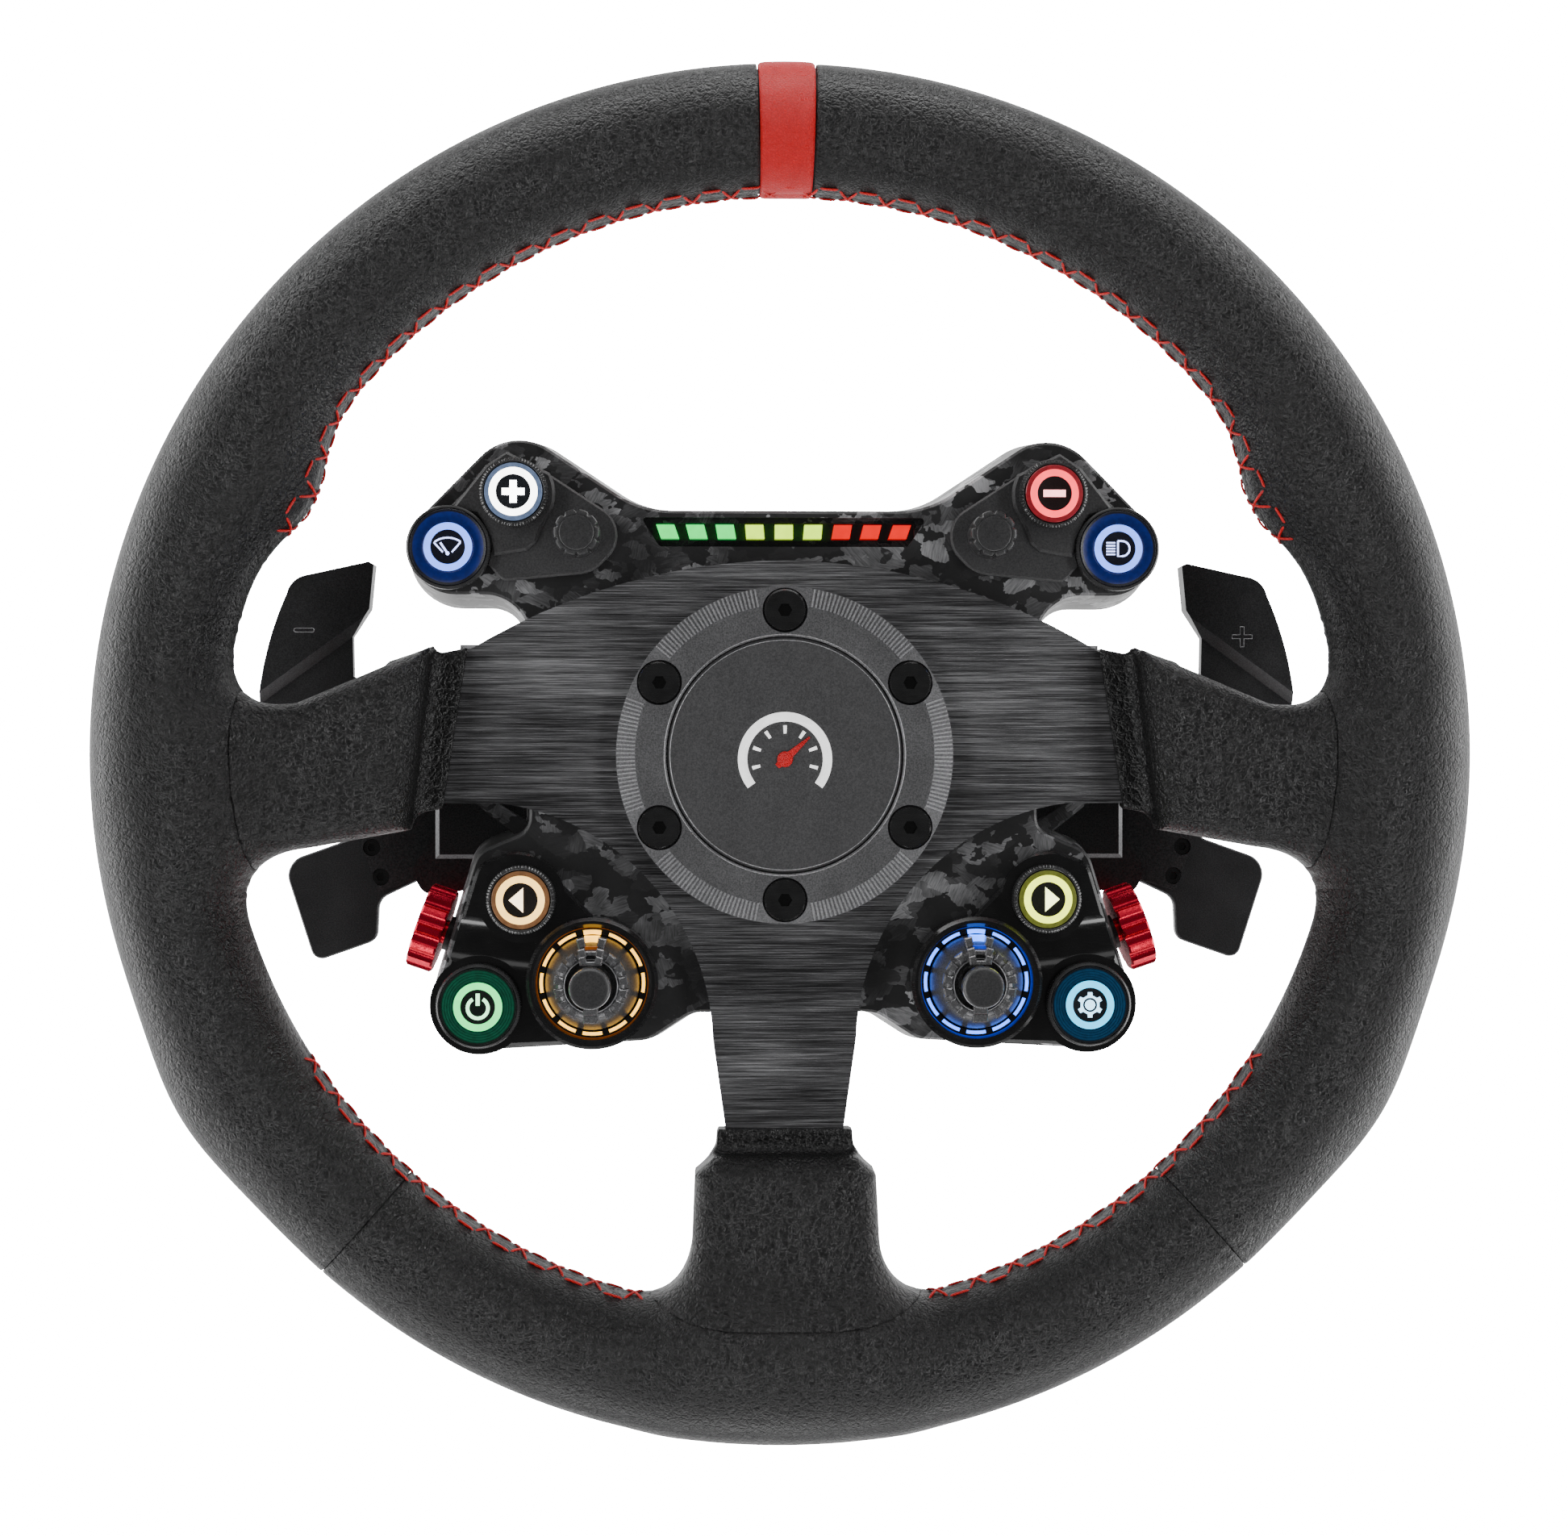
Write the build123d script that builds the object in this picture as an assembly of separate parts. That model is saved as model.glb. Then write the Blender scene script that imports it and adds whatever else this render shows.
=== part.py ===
"""Racing wheel for a driving simulator: a leather rim on a three-spoke plate, with a button module behind it.

Frame: millimetres, +Z up, the driver looks along +Y at the front. The origin is the centre of the rear
mounting face, and the wheel turns about Y. Depths in this file are counted backwards from the middle
plane of the rim: depth 0 is the rim's middle, and the rear mounting face lies at REAR_FACE.
"""
from build123d import *
import os
from math import cos, radians, sin

# ---------------------------------------------------------------- driving dimensions
REAR_FACE = 62.0             # depth of the rear mounting face
RIM_R = 165.0                # outer radius of the rim
GRIP_R = 15.8                # radius of the leather-covered grip section
LEATHER = 1.3                # leather thickness
RING_CENTRE = RIM_R - GRIP_R # radius of the grip's centre circle
FOAM_R = GRIP_R - LEATHER
STRIPE_HALF_DEG = 2.5        # half width of the centre stripe, as an angle
SEAM_DEG = 138.0             # angle from the top to the two lower seams

PLATE_FRONT, PLATE_BACK = 8.0, 12.0      # spoke plate
RING_FRONT = 4.0                         # hub ring, on the spoke plate
RING_R, RING_BORE_R = 40.8, 28.7
RING_SLOPE_R, RING_SLOPE = 36.0, 1.2     # its front slopes back by this much outside this radius
BADGE_R, BADGE_SPIGOT_R = 28.5, 25.9
HEAD_R, HEAD_RECESS_R = 5.1, 5.45        # heads of the hub screws
BOLT_CIRCLE_R = 35.0                     # six M5 screws on a 70 mm circle
BOLT_COUNT = 6
CLEARANCE_HOLE_R = 2.75
THREAD_R = 2.5
CORE_R = 2.1                             # front holes of the hub boss, before their M5 thread is cut

WALL = 2.5                               # side wall of the carbon shell
SHELL_FRONT, SHELL_INNER, SHELL_BACK = 12.0, 15.0, 34.0
FLARE = 2.2                              # the shell's back edge stands this far outside its front edge
COVER_BACK = 37.0
BOARD_FRONT, BOARD_BACK = 22.0, 23.6
BOSS_R = 41.0
PILOT_R, PILOT_FRONT = 22.0, 30.0        # rear pilot bore of the hub boss

UPPER_SEAT = 10.0                        # front of the upper panels
LOWER_SEAT = 8.0                         # front of the lower panels
PRESS = 1.2                              # travel of a push button

# places on the front, left side, as (x, z); the right side is their mirror image
PLUS_AT, WIPER_AT, THUMB_AT = (-65.5, 63.5), (-81.4, 50.3), (-50.0, 53.1)
ARROW_AT, POWER_AT, STICK_AT = (-63.7, -34.9), (-73.9, -60.5), (-46.5, -55.0)
SIDE_KNOB_AT, SIDE_KNOB_DEPTH, SIDE_KNOB_TILT = (-86.7, -42.7), 22.5, 19.0

SMALL_BUTTON_R = 8.4                     # outer radius of the knurled bezels
WIDE_BUTTON_R = 10.2                     # outer radius of the ribbed bezels
CAP_R = 7.0                              # small cap
WIDE_CAP_R = 9.3                         # wide cap

PIN_X, PIN_DEPTH, PIN_R = 83.0, 50.0, 1.5
LEVER_FRONT, LEVER_BACK = 48.0, 52.0
MAGNETS_AT = [(-62.0, 13.0), (-62.0, -11.0)]
CLUTCH_SCREWS_AT = [(-105.0, -23.8), (-102.7, -31.4)]

WINDOW_FRONT, WINDOW_BACK = 12.4, 13.8   # rev light window
LIGHT_COUNT, LIGHT_PITCH, LIGHT_Z = 9, 7.1, 54.6
LIGHT_HALF_WIDTH, LIGHT_HALF_HEIGHT, LIGHT_LEAN = 2.2, 1.7, 0.15

STICK_BEZEL_R, STICK_BEZEL_BORE_R, STICK_BEZEL_FRONT = 15.9, 13.6, 3.0
LIGHT_RING_R, LIGHT_RING_BORE_R, LIGHT_RING_FRONT = 13.5, 11.6, 6.0
DIAL_R, CROWN_R, CROWN_FRONT = 11.3, 8.7, -4.4


# ---------------------------------------------------------------- helpers
def y_of(depth):
    """Y of a depth behind the rim's middle plane."""
    return depth - REAR_FACE


def slab(sketch, front, back):
    """A sketch drawn in x and z, made solid from depth front to depth back."""
    return Pos(0, y_of(back), 0) * extrude(Plane.XZ * sketch, amount=back - front)


def disc(at, radius, front, back):
    return slab(Pos(*at) * Circle(radius), front, back)


def tube(at, outer, inner, front, back):
    return slab(Pos(*at) * (Circle(outer) - Circle(inner)), front, back)


def box_between(x, depth, z):
    """A box from its (low, high) limits in x, in depth and in z."""
    size = (x[1] - x[0], depth[1] - depth[0], z[1] - z[0])
    centre = ((x[0] + x[1]) / 2, y_of((depth[0] + depth[1]) / 2), (z[0] + z[1]) / 2)
    return Pos(*centre) * Box(*size)


def rounded(corners):
    """A face from corners given as (x, z, radius)."""
    points = [(x, z) for x, z, _ in corners]
    return make_face(FilletPolyline(*points, radius=[r for _, _, r in corners], close=True))


def mirrored(shape):
    return mirror(shape, about=Plane.YZ)


def flip(at):
    return (-at[0], at[1])


def both(shape):
    """A left piece and its mirror image, as one group of two solids."""
    return Compound(children=[*shape.solids(), *mirrored(shape).solids()])


def bolt_places(radius=BOLT_CIRCLE_R, count=BOLT_COUNT):
    step = 360 / count
    return [(radius * sin(radians(i * step)), radius * cos(radians(i * step))) for i in range(count)]


def discs(places, radius, front, back):
    return [disc(at, radius, front, back) for at in places]


def cut_all(shape, tools):
    for tool in tools:
        shape = shape - tool
    return shape


def soften(shape, edges, size):
    """Chamfers the edges, or leaves them sharp where the kernel can't."""
    try:
        return chamfer(edges, size)
    except ValueError:
        return shape


def front_edges(shape, depth):
    return shape.edges().filter_by_position(Axis.Y, y_of(depth) - 0.01, y_of(depth) + 0.01)


# ---------------------------------------------------------------- rim
def grip(radius, start=0.0, sweep=360.0):
    """The rim's round section swept about Y from angle start, clockwise from the top as the driver sees it."""
    from_top = Plane(origin=(0, y_of(0), 0), x_dir=(0, 0, 1), z_dir=(0, 1, 0))
    return Rot(0, start, 0) * (from_top * Torus(RING_CENTRE, radius, major_angle=sweep, align=None))


def spoke_outline():
    """Left half of the spoke plate without its outer ring, from the top round to the bottom."""
    top, shoulder = (0, 47.3), (-77.0, 25.0)
    return make_face([
        ThreePointArc(top, (-40.5, 41.2), shoulder),
        Polyline(shoulder, (-96, 12), (-146, 10), (-146, -8), (-84, -11.7), (-68.7, -11.7)),
        ThreePointArc((-68.7, -11.7), (-33.7, -29.5), (-17.4, -69)),
        Polyline((-17.4, -69), (-14.3, -91), (-10, -146), (0, -146), top),
    ])


def spoke_plate():
    half = spoke_outline()
    ring = Circle(155.0) - Circle(143.5)
    face = half + mirror(half, about=Plane.YZ) + ring
    plate = slab(face, PLATE_FRONT, PLATE_BACK)
    plate = cut_all(plate, discs(bolt_places(), CLEARANCE_HOLE_R, PLATE_FRONT, PLATE_BACK))
    return plate - disc((0, 0), 26.0, PLATE_FRONT, PLATE_BACK)


def rim_foam(plate):
    return grip(FOAM_R) - plate


def leather_panel(start, sweep, plate, radius=GRIP_R):
    shell = grip(radius, start, sweep) - grip(FOAM_R)
    return shell - plate


def rim_leather(plate):
    upper = SEAM_DEG - STRIPE_HALF_DEG
    spans = [(STRIPE_HALF_DEG, upper), (SEAM_DEG, 360 - 2 * SEAM_DEG), (360 - SEAM_DEG, upper)]
    return [leather_panel(start, sweep, plate) for start, sweep in spans]


def side_boot(plate, rim):
    """Padded leather over the left spoke: a thick body, and a thin collar at its end on the plate."""
    body = slab(rounded([(-84.5, 26.4, 3), (-111, 13.2, 18), (-127, 15, 5), (-142, 32, 3), (-146, -48, 3),
                         (-129, -42, 3), (-122, -25.5, 9), (-89.5, -18.6, 4)]), -6.0, 15.0)
    collar = slab(rounded([(-76.6, 26.2, 0.6), (-95, 22.5, 0.6), (-95, -15.5, 0.6), (-82.6, -13.2, 0.6)]),
                  6.8, 13.2)
    return (body + collar) - plate - rim


def bottom_boot(plate, rim):
    body = slab(rounded([(-21.3, -99.5, 3), (21.3, -99.5, 3), (22.6, -120, 20), (44, -136, 2), (0, -150, 2),
                         (-44, -136, 2), (-22.6, -120, 20)]), -6.0, 15.0)
    collar = slab(rounded([(-16.6, -90.6, 0.6), (16.6, -90.6, 0.6), (17.5, -104, 0.6), (-17.5, -104, 0.6)]),
                  6.8, 13.2)
    return (body + collar) - plate - rim


def spoke_boots(plate):
    rim = grip(GRIP_R)
    left = side_boot(plate, rim)
    return Compound(children=[*left.solids(), *mirrored(left).solids(), *bottom_boot(plate, rim).solids()])


# ---------------------------------------------------------------- hub front
def hub_ring():
    """Ring that clamps the spoke plate: six recesses for screw heads, and a wide sloping outer edge."""
    front, slope_end, back = y_of(RING_FRONT), y_of(RING_FRONT + RING_SLOPE), y_of(PLATE_FRONT)
    section = make_face(Polyline((RING_BORE_R, back), (RING_BORE_R, front + 0.4), (RING_BORE_R + 0.4, front),
                                 (RING_SLOPE_R, front), (RING_R, slope_end), (RING_R, back), close=True))
    ring = revolve(section, Axis.Y)
    ring = cut_all(ring, discs(bolt_places(), HEAD_RECESS_R, RING_FRONT, 7.0))
    return cut_all(ring, discs(bolt_places(), CLEARANCE_HOLE_R, 7.0, PLATE_FRONT))


def badge_cap():
    cap = disc((0, 0), BADGE_R, 4.2, PLATE_FRONT) + disc((0, 0), BADGE_SPIGOT_R, PLATE_FRONT, 13.0)
    return soften(cap, front_edges(cap, 4.2), 0.7)


def hub_screw(at):
    head = disc(at, HEAD_R, 4.1, 7.0)
    socket = slab(Pos(*at) * RegularPolygon(1.73, 6), 4.1, 6.1)
    shank = disc(at, 2.45, 7.0, SHELL_INNER) + disc(at, CORE_R - 0.05, SHELL_INNER, 27.0)
    return soften(head, front_edges(head, 4.1), 0.4) + shank - socket


# ---------------------------------------------------------------- button module
MODULE_LEFT = [
    # (x, z, radius), from the top centre round the left side to the bottom centre
    (-34.8, 59.6, 25), (-66.3, 80.4, 13), (-106.9, 39.2, 11.2), (-62.0, 39.2, 11), (-62.0, -18.4, 5),
    (-74.8, -23.8, 6), (-89.7, -72.7, 12.3), (-33.0, -69.6, 8), (-22.5, -62.8, 8),
]
COVER_SCREWS_AT = [(-66.5, 49.0), (-30.0, 45.5), (-56.0, 20.0), (-56.0, -14.0), (-60.0, -46.6), (-26.5, -58.0)]
SIDE_KNOB_AXIS = (-cos(radians(SIDE_KNOB_TILT)), sin(radians(SIDE_KNOB_TILT)))


def module_outline():
    right = [(-x, z, r) for x, z, r in reversed(MODULE_LEFT)]
    return rounded(MODULE_LEFT + right)


def along_side_knob(shape):
    """Carries a shape drawn about Z to the left side knob's axis, with Z pointing out of the wheel."""
    x, z = SIDE_KNOB_AT
    return Pos(x, y_of(SIDE_KNOB_DEPTH), z) * Rot(0, -90 + SIDE_KNOB_TILT, 0) * shape


def flared(face, front, back, inset=0.0):
    """The module's outline, growing by FLARE from its front to its back edge."""
    span = SHELL_BACK - SHELL_FRONT
    grown = [FLARE * (d - SHELL_FRONT) / span - inset for d in (front, back)]
    sections = [Pos(0, y_of(d), 0) * (Plane.XZ * (offset(face, g) if g else face))
                for d, g in zip((front, back), grown)]
    return loft(sections, ruled=True)


def carbon_shell(face):
    shell = flared(face, SHELL_FRONT, SHELL_BACK)
    shell = soften(shell, front_edges(shell, SHELL_FRONT), 0.6) - flared(face, SHELL_INNER, SHELL_BACK, WALL)
    for at in COVER_SCREWS_AT:
        for place in (at, flip(at)):
            shell = shell + disc(place, 3.2, SHELL_INNER, SHELL_BACK)
            shell = shell - disc(place, 1.35, 20.0, SHELL_BACK)
    rib = slab(rounded([(-78.5, -9.6, 0.5), (-75.5, -8.2, 0.5), (-61.0, -18.0, 0.5), (-64.0, -21.2, 0.5)]),
               18.0, 24.0)
    shell = shell + rib + mirrored(rib)
    shell = cut_all(shell, discs(bolt_places(), CLEARANCE_HOLE_R, SHELL_FRONT, SHELL_INNER))
    shell = shell - disc((0, 0), 26.0, SHELL_FRONT, SHELL_INNER)
    holes = [(PLUS_AT, 7.2), (WIPER_AT, 7.2), (ARROW_AT, 7.2), (POWER_AT, 7.2), (THUMB_AT, 3.2), (STICK_AT, 5.6)]
    for at, radius in holes:
        shell = cut_all(shell, discs((at, flip(at)), radius, SHELL_FRONT, SHELL_INNER))
    side_hole = along_side_knob(Pos(0, 0, -10) * Cylinder(4.6, 14))
    shell = shell - side_hole - mirrored(side_hole)
    pocket = slab(window_face(), SHELL_FRONT, WINDOW_BACK)
    slot = slab(Pos(0, LIGHT_Z) * Rectangle(64.0, 4.2), WINDOW_BACK, SHELL_INNER)
    return shell - pocket - slot


def window_face(inset=0.0):
    """The rev light window, wider at the top than at the bottom."""
    half_top, half_bottom, top, bottom = 35.0, 30.4, 58.0, 50.9
    half_top, half_bottom = half_top - inset * 1.6, half_bottom - inset * 0.6
    return rounded([(-half_top, top - inset, 0.8), (half_top, top - inset, 0.8),
                    (half_bottom, bottom + inset, 1.2), (-half_bottom, bottom + inset, 1.2)])


def light_face(index, grow=0.0):
    """Outline of one rev light. The end lights lean like the ends of the window."""
    place = index - (LIGHT_COUNT - 1) / 2
    lean = LIGHT_LEAN * place
    x, half, high = place * LIGHT_PITCH, LIGHT_HALF_WIDTH + grow, LIGHT_HALF_HEIGHT + grow
    return make_face(Polyline((x - half + lean, LIGHT_Z + high), (x + half + lean, LIGHT_Z + high),
                              (x + half - lean, LIGHT_Z - high), (x - half - lean, LIGHT_Z - high), close=True))


def rev_window():
    """Smoked window, with an opening round each light guide."""
    window = slab(window_face(0.1), WINDOW_FRONT, WINDOW_BACK)
    return cut_all(window, [slab(light_face(i, 0.05), WINDOW_FRONT, WINDOW_BACK) for i in range(LIGHT_COUNT)])


def rev_light(index):
    """One light guide, from the rev board to the front of the window."""
    return slab(light_face(index), WINDOW_FRONT, 16.0)


def rear_cover(face):
    cover = slab(offset(face, FLARE), SHELL_BACK, COVER_BACK)
    cover = soften(cover, front_edges(cover, COVER_BACK), 0.8)
    cover = cover - disc((0, 0), BOSS_R + 0.15, SHELL_BACK, COVER_BACK)
    for at in COVER_SCREWS_AT:
        cover = cut_all(cover, discs((at, flip(at)), 1.6, SHELL_BACK, COVER_BACK))
    return cover


def cover_screw(at):
    head = disc(at, 2.7, COVER_BACK, COVER_BACK + 1.6)
    socket = slab(Pos(*at) * RegularPolygon(1.15, 6), COVER_BACK + 0.5, COVER_BACK + 1.6)
    return soften(head, front_edges(head, COVER_BACK + 1.6), 0.5) + disc(at, 1.3, 24.0, COVER_BACK) - socket


def hub_boss():
    boss = disc((0, 0), BOSS_R, SHELL_INNER, REAR_FACE)
    boss = soften(boss, front_edges(boss, REAR_FACE), 0.8)
    boss = cut_all(boss, discs(bolt_places(), CORE_R, SHELL_INNER, 29.0))
    boss = cut_all(boss, discs(bolt_places(), THREAD_R, REAR_FACE - 12.0, REAR_FACE))
    return boss - disc((0, 0), PILOT_R, PILOT_FRONT, REAR_FACE) - disc((0, 0), 12.2, 20.0, PILOT_FRONT)


def connector():
    """Round contact block in the bottom of the pilot bore, with its ring of spring contacts."""
    block = disc((0, 0), 12.0, 20.0, 29.0)
    for at in bolt_places(6.0, 8):
        block = block + disc(at, 0.8, 29.0, 29.8)
    return block


def main_board(face):
    board = slab(offset(face, -WALL - 1.0), BOARD_FRONT, BOARD_BACK)
    board = board - disc((0, 0), BOSS_R + 1.0, BOARD_FRONT, BOARD_BACK)
    for at in COVER_SCREWS_AT:
        board = cut_all(board, discs((at, flip(at)), 3.6, BOARD_FRONT, BOARD_BACK))
    side_room = box_between((-84, -66.5), (BOARD_FRONT, BOARD_BACK), (-54.5, -34))
    return board - side_room - mirrored(side_room)


def rev_board():
    return box_between((-33, 33), (16.0, 17.2), (51.4, 57.0))


# ---------------------------------------------------------------- panels, buttons
def upper_panel():
    face = rounded([(-66.8, 74.6, 8), (-82.6, 58.9, 3), (-68.5, 42.2, 3), (-46.5, 44.3, 8), (-36.4, 54.8, 7.5)])
    panel = slab(face, UPPER_SEAT, SHELL_FRONT)
    panel = soften(panel, front_edges(panel, UPPER_SEAT), 0.5)
    for at, radius in ((PLUS_AT, 7.2), (THUMB_AT, 3.2)):
        panel = panel - disc(at, radius, UPPER_SEAT, SHELL_FRONT)
    return panel - disc(WIPER_AT, WIDE_BUTTON_R + 0.2, UPPER_SEAT, SHELL_FRONT)


def lower_panel():
    """Sculpted black panel with a valley between its two buttons."""
    face = rounded([(-63.0, -21.8, 8), (-74.2, -26.3, 5), (-87.8, -71.2, 11.2), (-40, -69.6, 6), (-33, -55, 10),
                    (-46.0, -39.5, 5)])
    panel = slab(face, LOWER_SEAT, SHELL_FRONT)
    panel = soften(panel, front_edges(panel, LOWER_SEAT), 0.8)
    valley = Pos(-78, y_of(LOWER_SEAT - 7.0), -44.5) * Rot(0, 98, 0) * Cylinder(9.0, 40)
    panel = panel - (valley & box_between((-100, -60.5), (0, 12), (-60, -30)))
    for at in (ARROW_AT, POWER_AT):
        boss_r = 10.6 if at is ARROW_AT else 12.0
        panel = panel + disc(at, boss_r, LOWER_SEAT, SHELL_FRONT) - disc(at, 7.2, LOWER_SEAT, SHELL_FRONT)
    panel = panel + disc(STICK_AT, STICK_BEZEL_R, LOWER_SEAT, SHELL_FRONT)
    return panel - disc(STICK_AT, 5.6, LOWER_SEAT, SHELL_FRONT)


def bezel(at, seat, outer):
    """Round bezel on its panel, with a threaded barrel down through the shell."""
    inner = (CAP_R if outer == SMALL_BUTTON_R else WIDE_CAP_R) + 0.3
    rim = tube(at, outer, inner, seat - 4.0, seat - 1.0) + tube(at, outer, 3.4, seat - 1.0, seat)
    rim = soften(rim, front_edges(rim, seat - 4.0), 0.25)
    return rim + tube(at, 7.1, 5.8, seat, SHELL_INNER + 4.0) - disc(at, 3.4, seat - 1.0, SHELL_INNER + 4.0)


def button_cap(at, seat, radius):
    """Domed cap with a stem that ends PRESS and a little more above its switch."""
    cap = disc(at, radius, seat - 4.6, seat - 2.4)
    cap = soften(cap, front_edges(cap, seat - 4.6), 0.5)
    return cap + disc(at, 3.0, seat - 2.4, 16.3)


def button_switch(at):
    x, z = at
    body = box_between((x - 3.5, x + 3.5), (18.4, BOARD_FRONT), (z - 3.5, z + 3.5))
    return body + disc(at, 1.6, 17.7, 18.4)


def thumb_knob(at):
    """Scalloped knob on its own round shaft."""
    knob = disc(at, 5.6, -1.6, 6.8)
    knob = soften(knob, front_edges(knob, -1.6), 1.1)
    for notch in bolt_places(5.95, 10):
        knob = knob - disc((at[0] + notch[0], at[1] + notch[1]), 0.8, -1.6, 4.5)
    return knob + disc(at, 2.45, 6.8, 15.0)


def thumb_sleeve(at):
    return tube(at, 4.4, 2.55, 7.0, 9.0)


def thumb_body(at):
    x, z = at
    return box_between((x - 6, x + 6), (15.2, BOARD_FRONT), (z - 6, z + 6)) - disc(at, 2.8, 15.2, 18.0)


# ---------------------------------------------------------------- rotary joysticks
def stick_bezel(at):
    rim = tube(at, STICK_BEZEL_R, STICK_BEZEL_BORE_R, STICK_BEZEL_FRONT, LOWER_SEAT)
    return soften(rim, front_edges(rim, STICK_BEZEL_FRONT), 0.8)


def stick_light_ring(at):
    return tube(at, LIGHT_RING_R, LIGHT_RING_BORE_R, LIGHT_RING_FRONT, LOWER_SEAT)


def rotary_dial(at):
    """Tapered dial with a toothed crown and a slot for its pointer, on a barrel."""
    x, z = at
    taper = Pos(x, y_of(2.2), z) * Rot(90, 0, 0) * Cone(DIAL_R, CROWN_R, 10.4)
    dial = disc(at, DIAL_R, 7.4, 7.8) + taper + disc(at, CROWN_R, CROWN_FRONT, -3.0)
    dial = soften(dial, front_edges(dial, CROWN_FRONT), 0.5)
    for notch in bolt_places(9.0, 14):
        dial = dial - disc((x + notch[0], z + notch[1]), 0.8, -4.5, -1.4)
    dial = dial - box_between((x - 1.7, x + 1.7), (-4.5, 5.0), (z + 5.0, z + 11.5))
    barrel = disc(at, 5.3, 7.8, 15.0)
    return dial + barrel - disc(at, 6.2, -4.5, 4.0) - disc(at, 4.6, 4.0, 15.0)


def stick_cap(at):
    cap = disc(at, 5.0, -10.0, -6.6)
    cap = soften(cap, front_edges(cap, -10.0), 0.6)
    ball = Pos(at[0], y_of(12.0), at[1]) * Sphere(2.4)
    return cap + disc(at, 2.0, -6.6, 12.0) + ball


def stick_gimbal(at):
    return tube(at, 4.2, 2.9, 11.2, 12.8)


def stick_plunger(at):
    return disc(at, 4.2, 15.2, 16.4) + disc(at, 1.8, 16.4, 19.0)


def stick_body(at):
    x, z = at
    body = box_between((x - 10, x + 10), (15.2, BOARD_FRONT), (z - 7.5, z + 9.5))
    return body - disc(at, 4.6, 15.2, 17.4) - disc(at, 2.1, 17.4, 20.5)


# ---------------------------------------------------------------- side encoders
def side_knob():
    """Fluted aluminium wheel on its shaft, drawn about Z."""
    wheel = Cylinder(10.6, 6.6)
    wheel = soften(wheel, wheel.edges().filter_by(GeomType.CIRCLE), 0.5)
    for i in range(14):
        wheel = wheel - Rot(0, 0, i * 360 / 14) * Pos(11.75, 0, 0) * Cylinder(2.0, 8)
    return wheel + Pos(0, 0, -7.8) * Cylinder(3.0, 9)


def side_body():
    """Encoder behind the wall, with its threaded bush through the wall, drawn about Z."""
    bush = Pos(0, 0, -7.4) * (Cylinder(4.3, 7.0) - Cylinder(3.06, 7.0))
    case = Pos(0, 0, -14.0) * Box(11, 11, 6.2) - Pos(0, 0, -12.0) * Cylinder(3.3, 4.0)
    return bush + case


# ---------------------------------------------------------------- paddles (left side)
def knuckle(low, high, radius=3.7):
    return Pos(-PIN_X, y_of(PIN_DEPTH), (low + high) / 2) * Cylinder(radius, high - low)


def shifter_base():
    """Block behind the cover that carries the paddles' hinge pin in three ears."""
    face = make_face(Polyline((-46, 28), (-81.3, 28), (-81.3, 24.2), (-87.6, 24.2), (-87.6, -26.3), (-46, -26.3),
                              close=True))
    block = slab(face, COVER_BACK, 44.0)
    block = soften(block, front_edges(block, COVER_BACK).filter_by_position(Axis.X, -90, -47), 1.1)
    # the foot stays in front of the clutch lever's sweep
    foot = slab(rounded([(-62, -20, 1), (-88, -20, 1), (-94.0, -29.5, 3), (-90.5, -35.8, 4), (-66, -32.5, 3)]),
                39.5, 43.5)
    base = block + foot + box_between((-84, -46), (44.0, 46.0), (-25, 24.2))
    base = base - disc((0, 0), BOSS_R + 1.0, COVER_BACK, 46.0)
    for low, high in ((20.2, 24.2), (-1.5, 3.5), (-25.0, -20.0)):
        base = base + box_between((-87, -79), (44.0, PIN_DEPTH), (low, high)) + knuckle(low, high, 4.0)
    for at in MAGNETS_AT:
        base = base - disc(at, 3.05, 44.0, 46.0)
    # seats that clear the levers' round knuckles, and the cover's two screws
    for low, high in ((3.5, 20.2), (-20.0, -1.5)):
        base = base - knuckle(low, high, 4.1)
    for at in COVER_SCREWS_AT:
        base = base - disc(at, 3.1, COVER_BACK, COVER_BACK + 2.0)
    return base - knuckle(-30, 30, PIN_R)


def paddle_pin():
    return knuckle(-25.0, 24.2, PIN_R)


def shift_lever():
    arm = box_between((-114, -57), (LEVER_FRONT, LEVER_BACK), (5.5, 19.5))
    return arm + knuckle(3.8, 19.9) - knuckle(0, 30, PIN_R + 0.06)


def shift_blade():
    """Upper paddle: a flat arm, and a finger pad that stands proud of it and slopes down to it along a diagonal."""
    pad_front, pad_back = 41.6, 44.6
    edge = ThreePointArc((-132.9, 13.0), (-130.7, 26.4), (-125.6, 41.2))
    corner = ThreePointArc((-125.6, 41.2), (-123.5, 44.6), (-120.4, 45.9))
    outer = [edge, corner, Polyline((-120.4, 45.9), (-104.9, 49.3), (-103.6, 48.6), (-104.7, 37.3), (-109.3, 30.2))]
    arm = make_face([*outer, Polyline((-109.3, 30.2), (-109.1, 20.0), (-92.5, 17.0), (-92.5, 2.0), (-94.0, 0.0),
                                      (-128.5, 0.0), (-132.0, 2.0), (-132.9, 13.0))])
    pad = make_face([*outer, Polyline((-109.3, 30.2), (-132.9, 13.0))])
    raised = slab(pad, pad_front, pad_back)
    raised = soften(raised, front_edges(raised, pad_front), 0.9)
    slope_run, height = 2.3, pad_back - pad_front
    along = Vector(23.6, 0, 17.2).normalized()
    across = Vector(along.Z, 0, -along.X)
    slope = Plane(origin=(-109.3, y_of(pad_back), 30.2), x_dir=along,
                  z_dir=across * height - Vector(0, slope_run, 0))
    raised = raised - slope * Box(100, 60, 20, align=(Align.CENTER, Align.CENTER, Align.MIN))
    return slab(arm, pad_back, LEVER_FRONT) + raised


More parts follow.
